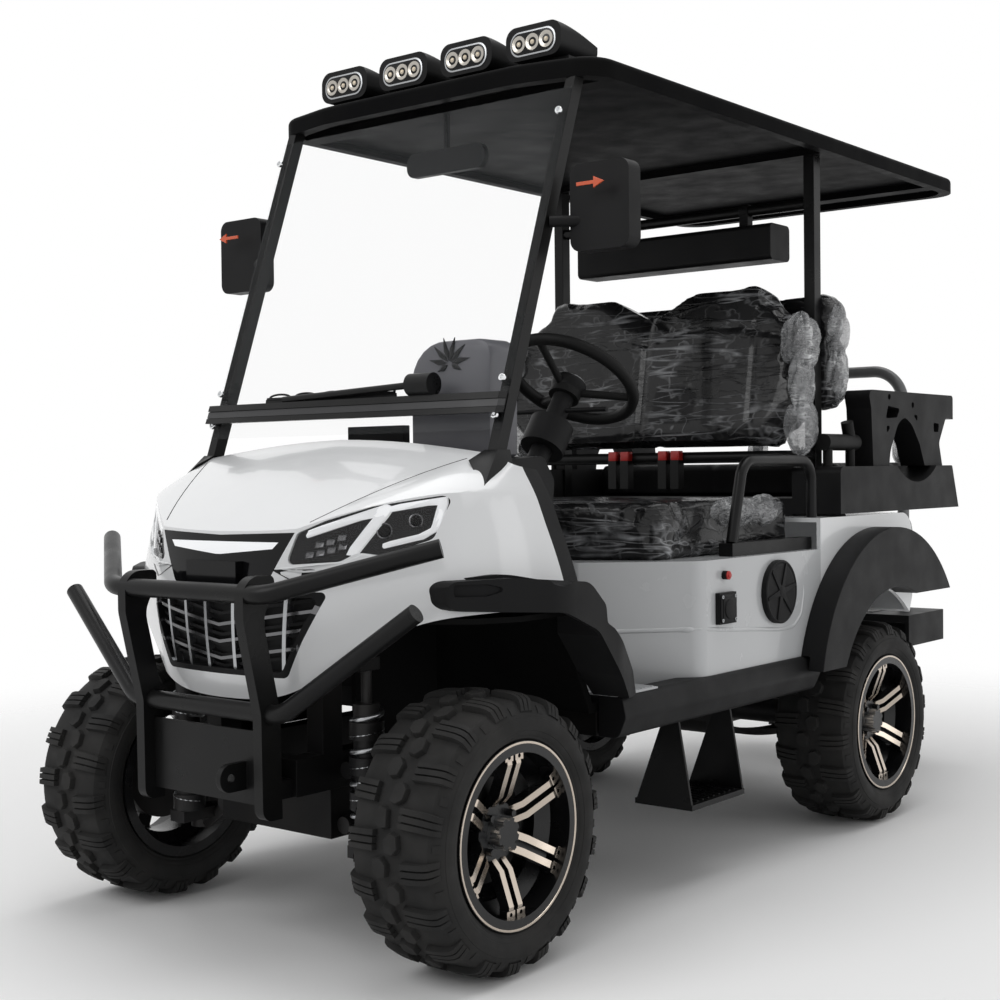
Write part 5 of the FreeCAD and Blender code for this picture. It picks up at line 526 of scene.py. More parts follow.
def make_materials():
    """Every finish of the cart, three of them in the colours of the panel; the seat box's colour is the body's
    white made darker as painted shade.
    """
    paint = bpy.context.scene.cart_paint
    groups = make_groups()
    white, panel = tuple(paint.body_white), tuple(paint.seat_box_shaded_white)
    finish(groups, "pearl_white", white, (0.2, 0.26), tuple(c * 0.985 for c in white), grain=0.02,
           grain_scale=1600, coat=0.6)
    # The seat box is the body's white paint; its darker colour here is painted shade.
    finish(groups, "seat_box_grey", panel, (0.24, 0.28), tuple(c * 0.98 for c in panel), grain=0.03,
           grain_scale=1400, coat=0.4)
    finish(groups, "rim_bronze", tuple(paint.rim_colour), (0.16, 0.28), grain=0.05, grain_scale=1500,
           metallic=1.0)
    for name, (colour, rough, rest) in FINISHES.items():
        finish(groups, name, colour, rough, **rest)
    pebble_relief("seat_black", 520, 0.35)
    # The pale colours given to the two films are their painted highlights along the folds.
    film_relief_and_painted_highlights(groups, "seat_film", 4.0, 0.026, (0.56, 0.57, 0.59), 1.05, 0.7)
    film_relief_and_painted_highlights(groups, "wrap_film", 9.0, 0.06, (0.9, 0.91, 0.92), 1.1, 0.8, (0.5, 1.0))


def paint_nodes():
    """Gives every node of the frame the material of its slot, for the nodes that stay as they are."""
    slots = {part["node"]: part["material_slot"] for part in frame["record"]["subparts"]}
    for name, thing in frame["nodes"].items():
        thing.data.materials.clear()
        thing.data.materials.append(MADE[slots[name]])


# The cowl's own surface, as the source has it

COWL_HALF_WIDTH, NOSE_FRONT, NOSE_LOW, HOOD_BACK_Y, HOOD_BACK_Z = 596, 266, 551, 134, 1116
COWL_NET = (
    ((0, 0.065, 0.004), (0.151, 0.07, 0.004), (0.277, 0.09, 0.009), (0.378, 0.135, 0.069),
     (0.503, 0.215, 0.166), (0.654, 0.315, 0.264), (0.805, 0.453, 0.326), (0.94, 0.615, 0.343),
     (0.997, 0.84, 0.349), (1, 1.415, 0.349)),
    ((0, 0.02, 0.193), (0.159, 0.025, 0.193), (0.31, 0.05, 0.202), (0.406, 0.1, 0.246),
     (0.52, 0.19, 0.317), (0.671, 0.315, 0.391), (0.822, 0.475, 0.437), (0.943, 0.652, 0.45),
     (1.003, 0.902, 0.45), (0.993, 1.39, 0.45)),
    ((0, -0.01, 0.423), (0.168, -0.005, 0.423), (0.294, 0.025, 0.437), (0.369, 0.07, 0.494),
     (0.487, 0.175, 0.543), (0.621, 0.325, 0.572), (0.763, 0.49, 0.591), (0.898, 0.677, 0.582),
     (0.982, 0.94, 0.568), (0.963, 1.365, 0.568)),
    ((0, 0.07, 0.644), (0.126, 0.07, 0.644), (0.252, 0.083, 0.648), (0.364, 0.117, 0.657),
     (0.483, 0.23, 0.706), (0.604, 0.36, 0.745), (0.732, 0.5, 0.777), (0.844, 0.677, 0.791),
     (0.914, 0.915, 0.773), (0.919, 1.353, 0.724)),
    ((0, 0.34, 0.777), (0.176, 0.34, 0.775), (0.344, 0.345, 0.768), (0.503, 0.39, 0.773),
     (0.591, 0.45, 0.796), (0.68, 0.53, 0.816), (0.775, 0.65, 0.83), (0.856, 0.79, 0.823),
     (0.903, 0.953, 0.805), (0.898, 1.327, 0.777)),
    ((0, 0.665, 0.901), (0.185, 0.665, 0.897), (0.378, 0.66, 0.885), (0.612, 0.685, 0.869),
     (0.664, 0.71, 0.876), (0.721, 0.755, 0.883), (0.785, 0.835, 0.88), (0.839, 0.92, 0.862),
     (0.872, 1.002, 0.844), (0.876, 1.29, 0.827)),
    ((0, 1, 1), (0.193, 1, 0.996), (0.386, 0.995, 0.986), (0.758, 0.975, 0.933), (0.775, 0.983, 0.929),
     (0.795, 0.993, 0.919), (0.815, 1.01, 0.906), (0.839, 1.03, 0.892), (0.861, 1.077, 0.876),
     (0.852, 1.265, 0.865)),
)
LIP = CREASE = 3
LAST_ROW, LAST_COLUMN = 6, 9


def cubic_weights(count, t):
    """Weights of the clamped cubic with evenly spaced knots at each t, by the usual recursion."""
    knots = np.concatenate([[0] * 3, np.linspace(0, 1, count - 2), [1] * 3])
    t = np.clip(t, 0, 1 - 1e-9)[:, None]
    weights = ((knots[:-1] <= t) & (t < knots[1:])).astype(float)
    for degree in (1, 2, 3):
        span_a = knots[degree:-1] - knots[:-degree - 1]
        span_b = knots[degree + 1:] - knots[1:-degree]
        a = (t - knots[:-degree - 1]) / np.where(span_a == 0, 1, span_a) * (span_a > 0)
        b = (knots[degree + 1:] - t) / np.where(span_b == 0, 1, span_b) * (span_b > 0)
        weights = a * weights[:, :-1] + b * weights[:, 1:]
    return weights


def cowl_points(rows, columns, count_u, count_v, inset=0.0):
    """A patch of the left cowl: the cubic weights times the net's points in millimetres."""
    net = np.array(COWL_NET, float)
    scale = np.array([COWL_HALF_WIDTH, NOSE_FRONT + HOOD_BACK_Y, HOOD_BACK_Z - NOSE_LOW])
    net = net * scale + np.array([0.0, -NOSE_FRONT, NOSE_LOW])
    if inset:
        mirror = net[:, 1:2] * np.array([-1.0, 1.0, 1.0])
        wide = np.concatenate([mirror, net, net[:, -1:]], 1)
        tall = np.concatenate([net[:1], net, net[-1:]], 0)
        outward = unit(np.cross(wide[:, 2:] - wide[:, :-2], tall[2:] - tall[:-2]))
        net = net - outward * inset
    net = net[rows[0]:rows[1] + 1, columns[0]:columns[1] + 1]
    u, v = np.linspace(0, 1, count_u), np.linspace(0, 1, count_v)
    return np.einsum("ui,vj,ijk->uvk", cubic_weights(net.shape[0], u), cubic_weights(net.shape[1], v), net)


NEAREST, CHUNK = 4, 400


def nose_depth(points, inset):
    """How far forward the left nose is at each (x, z): its nearest surface points, weighed by distance."""
    dense = np.concatenate([cowl_points((0, LIP), (0, CREASE), 60, 60, inset).reshape(-1, 3),
                            cowl_points((0, LIP), (CREASE, LAST_COLUMN), 90, 160, inset).reshape(-1, 3)])
    out = np.empty(len(points))
    for k in range(0, len(points), CHUNK):
        gap = ((dense[None, :, [0, 2]] - points[k:k + CHUNK, None]) ** 2).sum(2)
        near = np.argpartition(gap, NEAREST, axis=1)[:, :NEAREST]
        weight = 1 / (np.take_along_axis(gap, near, 1) + 0.05)
        out[k:k + CHUNK] = (dense[near, 1] * weight).sum(1) / weight.sum(1)
    return out


def on_nose(flat, inset):
    """Points in (x, z) laid on the left nose, or sunk into it by an inset."""
    return np.stack([flat[:, 0], nose_depth(flat, inset), flat[:, 1]], -1)


def nose_panel(form, line, layers):
    """A thin panel on the left nose: its outline drawn in and sunk by each layer's two distances."""
    form.add_rings([on_nose(inset_outline(line, drawn_in), inset) for drawn_in, inset in layers])


# Wheels

WHEELS = {"front_left": (520.5, 0, 1), "front_right": (-520.5, 0, -1), "rear_left": (524, WHEELBASE, 1),
          "rear_right": (-524, WHEELBASE, -1)}
TREAD_PROFILE = ((40, 291.6), (62, 291), (84, 288.5), (98, 285), (107, 279), (112, 268), (115.5, 257))
FLOOR_PROFILE = ((40, 279), (62, 278.5), (84, 276), (98, 273), (104, 267), (109, 260), (113, 252))
SIDE_PROFILE = ((0, 279.4), (40, 279), (84, 276), (98, 273), (104, 267), (109, 260), (113.5, 252),
                (116.5, 246), (117.2, 243.6), (118.6, 242.8), (119.6, 238), (120.3, 231), (119.8, 224),
                (117.6, 216), (116.2, 214.8), (115.9, 213), (113, 206), (110.4, 203.6), (109.2, 199),
                (105.4, 196.6), (102.4, 194.9), (101.7, 190))
KNOB_PROFILE = ((105, 268), (110.5, 262), (115, 252), (113, 246), (108, 250))
KNOB_CENTRE = np.array([106.0, 250.0])
MIDDLE_BLOCKS = (((-2, -19), (15, -23), (31, -13), (34, 9), (21, 21), (3, 15)),
                 ((1, -17), (20, -21), (34, -7), (30, 17), (11, 22), (-3, 8)))
MIDDLE_RINGS = ((1.1, 279.2), (1.02, 286), (1.0, 290.2), (0.95, 291.8))
BLOCK_COUNT = 18
TREAD_RADIUS = 290
BLOCK_STEPS = np.array([-21.5, -20, -9.6, -8.6, -6.8, -5.8, 5.2, 6.2, 8.0, 9.0, 20, 21.5])
BLOCK_CUTS = np.array([0, 1, 1, 0.45, 0.45, 1, 1, 0.45, 0.45, 1, 1, 0])
LONG_REACH, FOOT, SHOULDER_LIFT = 9, 1.5, 0.72


def tyre_blocks(form, mirror, sign):
    """Shoulder blocks with two cuts each that alternate in reach, knobs between them, and middle blocks."""
    pitch = 2 * math.pi / BLOCK_COUNT
    top, floor, knob = np.array(TREAD_PROFILE), np.array(FLOOR_PROFILE), np.array(KNOB_PROFILE)
    rows = len(top) + 1
    lift = np.repeat(BLOCK_CUTS[None, :], rows, 0)
    lift[-1] = np.where(BLOCK_CUTS > 0, SHOULDER_LIFT, 0)
    high_radius, low_radius = (np.concatenate([floor[:1, 1], end[:, 1]])[:, None] for end in (top, floor))

    def on_tyre(x, radius, angle):
        return np.stack([x * mirror, radius * np.sin(angle), radius * np.cos(angle)], -1)

    for k in range(BLOCK_COUNT):
        angle = (k + 0.25 * mirror) * pitch
        reach = 0 if k % 2 else LONG_REACH
        high_x = top[:, 0] - np.array([reach, reach * 0.4, 0, 0, 0, 0, 0])
        high_x = np.concatenate([[high_x[0] - FOOT], high_x])[:, None]
        low_x = np.concatenate([[floor[0, 0] - reach - FOOT], floor[:, 0]])[:, None]
        slant = np.linspace(-4, 4, rows)[:, None] * (1 if k % 2 else -1)
        turn = angle + (BLOCK_STEPS + slant) / TREAD_RADIUS
        x, radius = high_x * lift + low_x * (1 - lift), high_radius * lift + low_radius * (1 - lift)
        form.add(on_tyre(x, radius, turn), grid_quads(rows, len(BLOCK_STEPS)))
        angle += pitch / 2
        size = 0.5 + 0.5 * np.array([0.0, 1.0, 1.0, 0.0])
        x, radius = KNOB_CENTRE[:, None, None] + (knob - KNOB_CENTRE).T[:, :, None] * size
        turn = np.broadcast_to(angle + np.array([-10, -8.5, 8.5, 10]) / TREAD_RADIUS, x.shape)
        form.add(on_tyre(x, radius, turn), grid_quads(*x.shape))
        flat = rounded_outline(MIDDLE_BLOCKS[k % 2], 2.2, 3)
        flat[:, 1] *= sign
        middle = flat.mean(0)
        rings = []
        for spread, height in MIDDLE_RINGS:
            ring = (flat - middle) * spread + middle
            rings.append(on_tyre(ring[:, 0], height, angle + ring[:, 1] / TREAD_RADIUS))
        form.add_rings(rings)


def build_tyre(wheel):
    """The carcass spun about the axle, with its tread blocks."""
    x, y, sign = WHEELS[wheel]
    form = Form()
    side = np.array(SIDE_PROFILE)
    turned(form, np.concatenate([side[::-1] * [-1, 1], side[1:]]), (0, 0, 0), (1, 0, 0), 96)
    for mirror in (1, -1):
        tyre_blocks(form, mirror, sign)
    form.points = [points + [x, y, AXLE_HEIGHT] for points in form.points]
    make_piece("tyre_" + wheel + "_rubber", form, ["tyre"], 28, "tyre", "wheel_" + wheel, ("tyre_" + wheel,))


SPOKE_COUNT = 6
SPOKE_INNER, SPOKE_BEND, SPOKE_FORK, SPOKE_OUTER = 62, 95, 138, 177


def wheel_finish(wheel):
    """Bright where a spoke's outer face looks outward, black on the barrel, lip, channels and sides."""
    x, y, sign = WHEELS[wheel]

    def pick(centres, normals):
        out = (centres[:, 0] - x) * sign
        ahead, up = centres[:, 1] - y, centres[:, 2] - AXLE_HEIGHT
        radius, turn = np.hypot(ahead, up), np.sin(np.arctan2(ahead, up) * SPOKE_COUNT / 2)
        outward = normals[:, 0] * sign
        near = radius * np.abs(np.arcsin(np.clip(turn, -1, 1)) / 3)
        bright = (outward > 0.55) & (radius > SPOKE_INNER) & (radius < SPOKE_OUTER)
        bright &= out > np.where(radius > SPOKE_BEND, 70, 38)
        bright &= near < np.where(radius > SPOKE_FORK, 50, 26)
        channel = (outward > 0.55) & (out < 84) & (out > 20) & (radius > 60) & (radius < 150)
        channel &= (near < 6.5) & (np.abs(turn * radius / 3) < 40)
        hub = (radius < 36) & (out > 52) & (outward < 0.6)
        return np.where(hub, 2, np.where(bright & ~channel, 1, 0))

    return pick


def build_rim(wheel):
    """The rim with its bright spokes, and a thin bright line round its outer lip."""
    x, y, sign = WHEELS[wheel]
    form = Form()
    lip = ((110, 187.5), (112, 188.5), (112.3, 190.5), (112, 192.8), (110, 193.6))
    turned(form, lip, (x, y, AXLE_HEIGHT), (sign, 0, 0), 96)
    make_piece("rim_line_" + wheel, form, ["rim_bronze"], 50, "rim_bronze", body_of_node("rim_" + wheel))
    finished_copy("rim_" + wheel, ["rim_black", "rim_bronze", "steel"], 28, 0.0, wheel_finish(wheel))


def build_wheels():
    """The four tyres and rims."""
    for wheel in WHEELS:
        build_tyre(wheel)
        build_rim(wheel)


# Nose

LAMP_X, LAMP_WIDTH, LAMP_Z, LAMP_HEIGHT = 196, 284, 846, 146
LAMP_OUTLINE = ((0, 0), (0.38, 0.05), (0.48, 0.18), (0.64, 0.13), (0.93, 0.36), (1, 1), (0.54, 0.83),
                (0.25, 0.63), (0.08, 0.46))
LAMP_CORNERS = (0.04, 0.1, 0.1, 0.1, 0.06, 0.05, 0.3, 0.3, 0.04)
INNER_GUIDE = ((0.13, 0.38), (0.15, 0.5), (0.62, 0.86), (0.67, 0.8), (0.47, 0.13), (0.4, 0.15), (0.56, 0.7))
OUTER_GUIDE = ((0.65, 0.84), (0.965, 0.96), (0.95, 0.5), (0.86, 0.36), (0.63, 0.23), (0.63, 0.31),
               (0.84, 0.43), (0.905, 0.52), (0.92, 0.86), (0.65, 0.75))
GUIDE_LAYERS = ((-0.5, 9.0), (-0.5, 1.9), (0.8, 0.9))
REFLECTOR_CELLS = ((0.17, 0.14), (0.24, 0.17), (0.31, 0.21), (0.38, 0.26), (0.23, 0.29), (0.3, 0.33),
                   (0.37, 0.39))
REFLECTOR_LAYERS = ((0.3, 5.6), (0.75, 4.6), (1.0, 3.0), (0.92, 6.6))
PROJECTORS = ((0.62, 0.48, 17), (0.8, 0.62, 15))
WEDGE = ((160, 836), (215, 812), (240, 807), (296, 832), (250, 838))
BLADE = ((180, 838), (286, 850), (315, 852), (345, 869), (394, 864), (350, 852), (302, 836), (240, 831))


def lamp_place(shares):
    """Shares of the left headlamp's width and height to (x, z)."""
    return np.asarray(shares, float) * [LAMP_WIDTH, LAMP_HEIGHT] + [LAMP_X, LAMP_Z]


def grille_finish(centres, normals):
    """Steel posts and dark bright rows on the grille's front, inside its border."""
    x, z = np.abs(centres[:, 0]), centres[:, 2]
    level = z - 0.15 * x
    rows, posts = np.zeros(len(x), bool), np.zeros(len(x), bool)
    for low in (635, 672, 709):
        rows |= (level > low - 0.5) & (level < low + 7.5)
    narrowing = ((z - 606) / 184) * (1 - 0.9) + 0.9
    for post in (0.5, 1.5, 2.5):
        posts |= np.abs(x - (post * 74 + 9) * narrowing) < 5.5
    shown = (x < 268) & (z > 620) & (z < 777) & (normals[:, 1] < 0.3)
    return np.where(shown & posts, 1, np.where(shown & rows & (np.abs(normals[:, 2]) < 0.5), 2, 0))


def lamp_guides(form):
    """The two lines of light in the left headlamp."""
    for guide in (INNER_GUIDE, OUTER_GUIDE):
        line = divided_outline(rounded_outline(lamp_place(guide), 2.0, 3), 6)
        line = line[np.linalg.norm(line - np.roll(line, 1, 0), axis=1) > 0.4]
        nose_panel(form, line, GUIDE_LAYERS)


def lamp_cover(form):
    """The left headlamp's clear cover, with its rim sunk."""
    outline = rounded_outline(lamp_place(LAMP_OUTLINE), np.array(LAMP_CORNERS) * LAMP_WIDTH, 9)
    middle = outline.mean(0)
    shares = np.concatenate([np.linspace(0.02, 1, 24), [0.995]])
    rings = middle + (outline - middle)[None] * (shares[:, None, None] * 0.992)
    points = on_nose(rings.reshape(-1, 2), 0.6).reshape(len(shares), -1, 3)
    points[-1, :, 1] += 6
    form.add_rings(points, 0, True, False)


def lamp_reflectors(form):
    """Small facets toward the left headlamp's inner end, and two projector lamps."""
    square = np.array([(-1, -1), (0.72, -0.8), (1, 1), (-0.8, 0.85)]) * (8.5, 7)
    for cell in REFLECTOR_CELLS:
        middle = lamp_place(cell)
        layers = [on_nose(middle + square * share, inset) for share, inset in REFLECTOR_LAYERS]
        form.add_rings(layers, 0, True, False)
    for u, v, radius in PROJECTORS:
        middle = lamp_place((u, v))
        depth, beside, above = nose_depth(middle + np.array([(0, 0), (10, 0), (0, 10)], float), 6.0)
        facing = unit(np.array([(beside - depth) / 10, -1.0, (above - depth) / 10]))
        at = (middle[0], depth, middle[1])
        ring = [(-2, radius), (2.4, radius), (3.0, radius - 1.5), (1.2, radius - 3.5)]
        turned(form, ring, at, facing, 28, 0)
        turned(form, [(0.2, radius - 3.5), (2.2, radius - 7), (3.0, 0)], at, facing, 28, 1)


def build_nose():
    """Finished copies of the moulded nose parts, with the lamps' guides, reflectors and clear covers."""
    finished_copy("front_cowl", ["pearl_white"], 24)
    finished_copy("cowl_rear_trim", ["black_plastic"])
    finished_copy("nose_band", ["gloss_black"])
    finished_copy("light_strip", ["light_guide"], 40)
    finished_copy("headlamps", ["lamp_lens"])
    make_pair("headlamp_guides", lamp_guides, ["light_guide"], 40, "lamp_lens")
    finished_copy("grille", ["black_plastic", "steel", "dark_chrome"], 30, 0.0, grille_finish)
    make_pair("headlamp_covers", lamp_cover, ["lens_cover"], 40, "clear_pane")
    make_pair("headlamp_reflectors", lamp_reflectors, ["dark_chrome", "gloss_black"], 20, "lamp_lens")


def build_cheeks():
    """The black wedge and white blade under each headlamp, and the fine gap along the hood's crease."""
    def wedge(form):
        nose_panel(form, divided_outline(WEDGE, 8), ((0.0, 4), (0.0, -0.6), (0.8, -1.2)))

    def blade(form):
        nose_panel(form, divided_outline(BLADE, 8), ((0.0, 3), (0.0, -3.9), (0.8, -4.5)))

    def gap(form):
        crease = cowl_points((LIP, LAST_ROW), (0, CREASE), 60, 2)[:, -1]
        carried(form, crease[4:54] + [0, 0, -0.5], 1.3, 8, (1, 0, 0))

    make_pair("cheek_wedges", wedge, ["gloss_black"], 35, "black_plastic")
    make_pair("cheek_blades", blade, ["pearl_white"], 35, "pearl_white")
    make_pair("hood_gap", gap, ["inner_black"], 60, "black_plastic")


# Soft parts

BLOW_FRAMES = 20


def apply_modifiers(thing):
    """Puts the result of an object's modifiers into its mesh."""
    graph = bpy.context.evaluated_depsgraph_get()
    result = bpy.data.meshes.new_from_object(thing.evaluated_get(graph))
    thing.modifiers.clear()
    old = thing.data
    thing.data = result
    bpy.data.meshes.remove(old)


def blow_up(thing, pressure):
    """Lets a closed mesh swell as cloth for a few frames."""
    cloth = thing.modifiers.new("blown", "CLOTH")
    cloth.settings.quality = 4
    cloth.settings.use_pressure = True
    cloth.settings.uniform_pressure_force = pressure
    cloth.settings.effector_weights.gravity = 0
    cloth.settings.shrink_min = -0.06
    cloth.point_cache.frame_start = 1
    cloth.point_cache.frame_end = BLOW_FRAMES
    for step in range(1, BLOW_FRAMES + 1):
        bpy.context.scene.frame_set(step)
    apply_modifiers(thing)
    bpy.context.scene.frame_set(1)


def cushion(node, material, voxel, start, cap, pressure, seams):
    """A pad: the node's form remeshed, drawn in, blown up as cloth within a cap, then made finer."""
    mesh = frame["nodes"][node].data.copy()
    mesh.materials.clear()
    merge_mesh(mesh, False)
    thing = bpy.data.objects.new(node + "_pad", mesh)
    bpy.context.collection.objects.link(thing)
    remesh = thing.modifiers.new("even mesh", "REMESH")
    remesh.mode = "VOXEL"
    remesh.voxel_size = voxel * 0.001
    apply_modifiers(thing)
    mesh = thing.data
    normals, points = read_vectors(mesh.vertices, "normal"), read_vectors(mesh.vertices, "co")
    low, high = points.min(0), points.max(0)
    points = points - normals * start * 0.001
    mesh.vertices.foreach_set("co", points.ravel())
    mesh.update()
    blow_up(thing, pressure)
    mesh = thing.data
    move = read_vectors(mesh.vertices, "co") - points
    length = np.linalg.norm(move, axis=1, keepdims=True)
    points = points + move * np.minimum(1, cap * 0.001 / np.maximum(length, 1e-9))
    points = np.clip(points, low - 0.001, high + 0.001)
    points = points - normals * seams(*from_axle(points).T)[:, None] * 0.001
    mesh.vertices.foreach_set("co", points.ravel())
    mesh.update()
    smooth = thing.modifiers.new("finer", "SUBSURF")
    smooth.levels = smooth.render_levels = 1
    mesh.shade_smooth()
    mesh.materials.append(MADE[material])
    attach(thing, body_of_node(node))
    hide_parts(node)


def groove(distance, width, depth):
    """How far a sewn seam draws the cover in: a smooth dip across its line."""
    return depth * np.exp(-(distance / width) ** 2)


def front_seams(x, y, z):
    """A seam down the middle, one near each end, one across the front and one round the waist."""
    draw = groove(x, 5, 5) + groove(np.abs(x) - 400, 4, 3) * (z > 900)
    draw = draw + groove(y - 1240, 4, 3) * (np.abs(x) < 400)
    return draw + groove(z - 868, 3, 3)


def back_seams(x, y, z):
    """A seam down the middle, one near each side, and an arched one near the top."""
    draw = groove(x, 7, 8) + groove(np.abs(np.abs(x) - 372), 4, 4) * (z < 1500)
    return draw + groove(z - 1452 + 0.0008 * (np.abs(x) - 230) ** 2, 4, 4)


def rear_seams(x, y, z):
    """A seam down the middle and one near each side."""
    return groove(x, 6, 5) + groove(np.abs(x) - 340, 4, 3)


def build_seats():
    """The four pads, with their sewn lines."""
    cushion("front_cushion", "seat_film", 11.5, 5, 14, 3.0, front_seams)
    cushion("front_backrest", "seat_film", 10, 7, 18, 4.0, back_seams)
    cushion("rear_backrest", "seat_film", 10, 6, 14, 4.0, rear_seams)
    cushion("rear_cushion", "seat_black", 11, 5, 12, 3.0, rear_seams)


BUNCH_ROWS, BUNCH_COLUMNS = 36, 60
BACK_BUNCHES = (((498, 1478, 1392), (50, 88, 92), 3), ((506, 1468, 1276), (32, 66, 98), 5),
                ((500, 1474, 1160), (44, 72, 92), 8), ((482, 1714, 1440), (46, 64, 98), 11),
                ((486, 1714, 1320), (40, 58, 104), 13))
CUSHION_BUNCHES = (((488, 1110, 922), (34, 130, 42), 17), ((486, 1270, 918), (36, 110, 50), 19))
TUBE_BUNCHES = (((288, 2634, 1100), (42, 40, 62), 23, 9), ((288, 2634, 786), (38, 38, 84), 29, 9))


def film_bunch(form, centre, radii, seed, pleats=6):
    """Gathered film: an egg whose radius is 1 - sum of a (1 - |sin(m u + n v / 2 + p)|)^3."""
    u = np.linspace(0.03, math.pi - 0.03, BUNCH_ROWS)[:, None]
    v = np.linspace(0, 2 * math.pi, BUNCH_COLUMNS, endpoint=False)[None]
    draws = np.random.default_rng(seed)
    size = np.ones((BUNCH_ROWS, BUNCH_COLUMNS))
    for step in range(8):
        m, n, phase = draws.integers(0, 4), draws.integers(2, pleats + 3), draws.uniform(0, math.pi)
        size -= 0.14 / (1 + 0.25 * step) * (1 - np.abs(np.sin(m * u + n * v / 2 + phase))) ** 3
    across = np.stack([np.sin(u) * np.cos(v), np.sin(u) * np.sin(v), np.cos(u) + 0 * v], -1)
    form.add_rings(np.asarray(centre, float) + across * size[..., None] * np.asarray(radii, float), 0, True)


def build_wraps():
    """Bunches of the packing film at the pads' outer ends and round the rear grab bar's legs."""
    for name, bunches, body in (("back_wraps", BACK_BUNCHES, "chassis"),
                                ("cushion_wraps", CUSHION_BUNCHES, body_of_node("front_cushion")),
                                ("tube_wraps", TUBE_BUNCHES, "chassis")):
        def gather(form):
            for bunch in bunches:
                film_bunch(form, *bunch)

        make_pair(name, gather, ["wrap_film"], 60, "clear_pane", body)


# Small parts

SIDEWAYS = (1, 0, 0)


def directions(degrees):
    """The direction at an angle in a plane, and the one square to it."""
    a = math.radians(degrees)
    return np.array([math.cos(a), math.sin(a)]), np.array([-math.sin(a), math.cos(a)])


def screw_head(form, at, axis, radius, height, finish=0):
    """A round head with a six-sided socket sunk into its top."""
    for profile, sides in ((((0, 0.96), (0.15, 1), (0.8, 1), (1, 0.9), (1, 0.62)), 24),
                           (((1, 0.62), (1, 0.55), (0.45, 0.55), (0.45, 0.0)), 6)):
        turned(form, [(h * height, r * radius) for h, r in profile], at, axis, sides, finish)


def build_coils():
    """Springs round the front dampers: a round wire carried along a helix."""
    def coil(form):
        foot, head, radius, turns = np.array([292.0, -95, 268]), np.array([292.0, -95, 540]), 33, 8
        t = np.linspace(0, 1, turns * 20)[:, None]
        axis = unit(head - foot)
        across = unit(np.cross(axis, [0.0, 1.0, 0.0]))
        a = 2 * math.pi * turns * t
        spiral = (np.cos(a) * across + np.sin(a) * np.cross(axis, across)) * radius
        carried(form, foot + (head - foot) * t + spiral, 5.5, 8, axis)

    make_pair("front_springs", coil, ["steel"], 50)


def build_lamp_pods():
    """Three round reflectors with discs in the front of each roof lamp, and a thin bright rim on each."""
    low, high = node_box("lamp_bar")
    front_y, z = low[1] - 0.5, high[2] - 43
    form = Form()
    plate = rectangle(-68, -30, 68, 30)
    bowl = [(0, 20.5), (-2.2, 20), (-2.2, 18.6), (-0.8, 13), (0.6, 8), (1.2, 6), (1.2, 0)]
    for pod in (-1.5, -0.5, 0.5, 1.5):
        x = pod * 211
        slab(form, rounded_outline(plate, 27, 9) + [x, z], across_y, front_y - 1.5, front_y + 4, 1.2, 2)
        plate_face = rounded_outline(plate * [0.94, 0.86], 24, 9) + [x, z]
        slab(form, plate_face, across_y, front_y - 2.4, front_y + 3, 0.4, 3)
        for cell in (-1, 0, 1):
            at = (x + cell * 41, front_y - 2, z)
            turned(form, bowl, at, (0, 1, 0), 28, 0)
            turned(form, [(1, 6.5), (-2, 5.5), (-3.6, 3), (-4, 0)], at, (0, 1, 0), 20, 1)
    make_piece("lamp_reflectors", form, ["pod_bowl", "lamp_warm", "steel", "gloss_black"], 35, "lamp_lens")


def build_side_fittings():
    """The speaker's ringed grille, the charge port's lid and the key with its red button, on both sides."""
    x = node_box("side_fittings")[1][0]
    port_y, port_z = WHEELBASE * 0.505, 690

    def fittings(form):
        at = (x, WHEELBASE - 587, 712)
        rings = [(-2, 84), (1, 83), (2.5, 80), (1, 76), (-1, 74)]
        for radius in np.arange(70, 16, -6.0):
            rings += [(-1.5, radius), (0.4, radius - 1.5), (0.4, radius - 3), (-1.5, radius - 4.5)]
        turned(form, rings + [(-1, 10), (2, 9), (2.5, 0)], at, SIDEWAYS, 64)
        for step in range(6):
            along, across = directions(60 * step + 12)
            foot, head = along * 12, along * 76
            bar = [foot - across * 8, head - across * 4, head + across * 4, foot + across * 8]
            slab(form, np.array(bar) + [at[1], at[2]], across_x, x - 1.5, x + 3.6, 1.5)
        turned(form, [(-1, 18), (3, 17), (5, 13), (5.5, 0)], at, SIDEWAYS)
        port = rounded_outline(rectangle(-38, -36, 38, 36), 8) + [port_y, port_z]
        slab(form, port, across_x, x - 4, x + 1.5, 1.5)
        lid = rounded_outline(rectangle(-30, -28, 30, 28), 5) + [port_y, port_z]
        slab(form, lid, across_x, x, x + 3.4, 1.5)
        turned(form, [(3, 25), (6, 24), (7, 21), (7, 0)], (x, port_y, port_z - 2), SIDEWAYS)
        for side_y, side_z in ((-31, -29), (31, -29), (-31, 29), (31, 29)):
            screw_head(form, (x + 1, port_y + side_y, port_z + side_z), SIDEWAYS, 4.5, 2.4, 2)
        button = [(-2, 11), (2, 11), (3, 9.5), (3, 7.5), (5, 7), (6, 5.5), (6, 0)]
        turned(form, button, (x, port_y, port_z + 82), SIDEWAYS, 24, 1)

    make_pair("panel_fittings", fittings, ["black_plastic", "red_plastic", "steel"], 30)


def build_mirror_marks():
    """A small raised arrow on the front shell of each side mirror."""
    front_y = node_box("mirrors")[0][1]
    arrow = np.array([(-34, -3.5), (6, -3.5), (6, -11), (30, 0), (6, 11), (6, 3.5), (-34, 3.5)]) * 1.15

    def mark(form):
        slab(form, arrow + [598.0, 1672.0], across_y, front_y - 0.2, front_y + 4, 0.8)

    make_pair("mirror_arrows", mark, ["orange_mark"], 30, "red_lens")


WINDSHIELD_FOOT_Y, WINDSHIELD_FOOT_Z, WINDSHIELD_LEAN = 130, 1085, 0.35


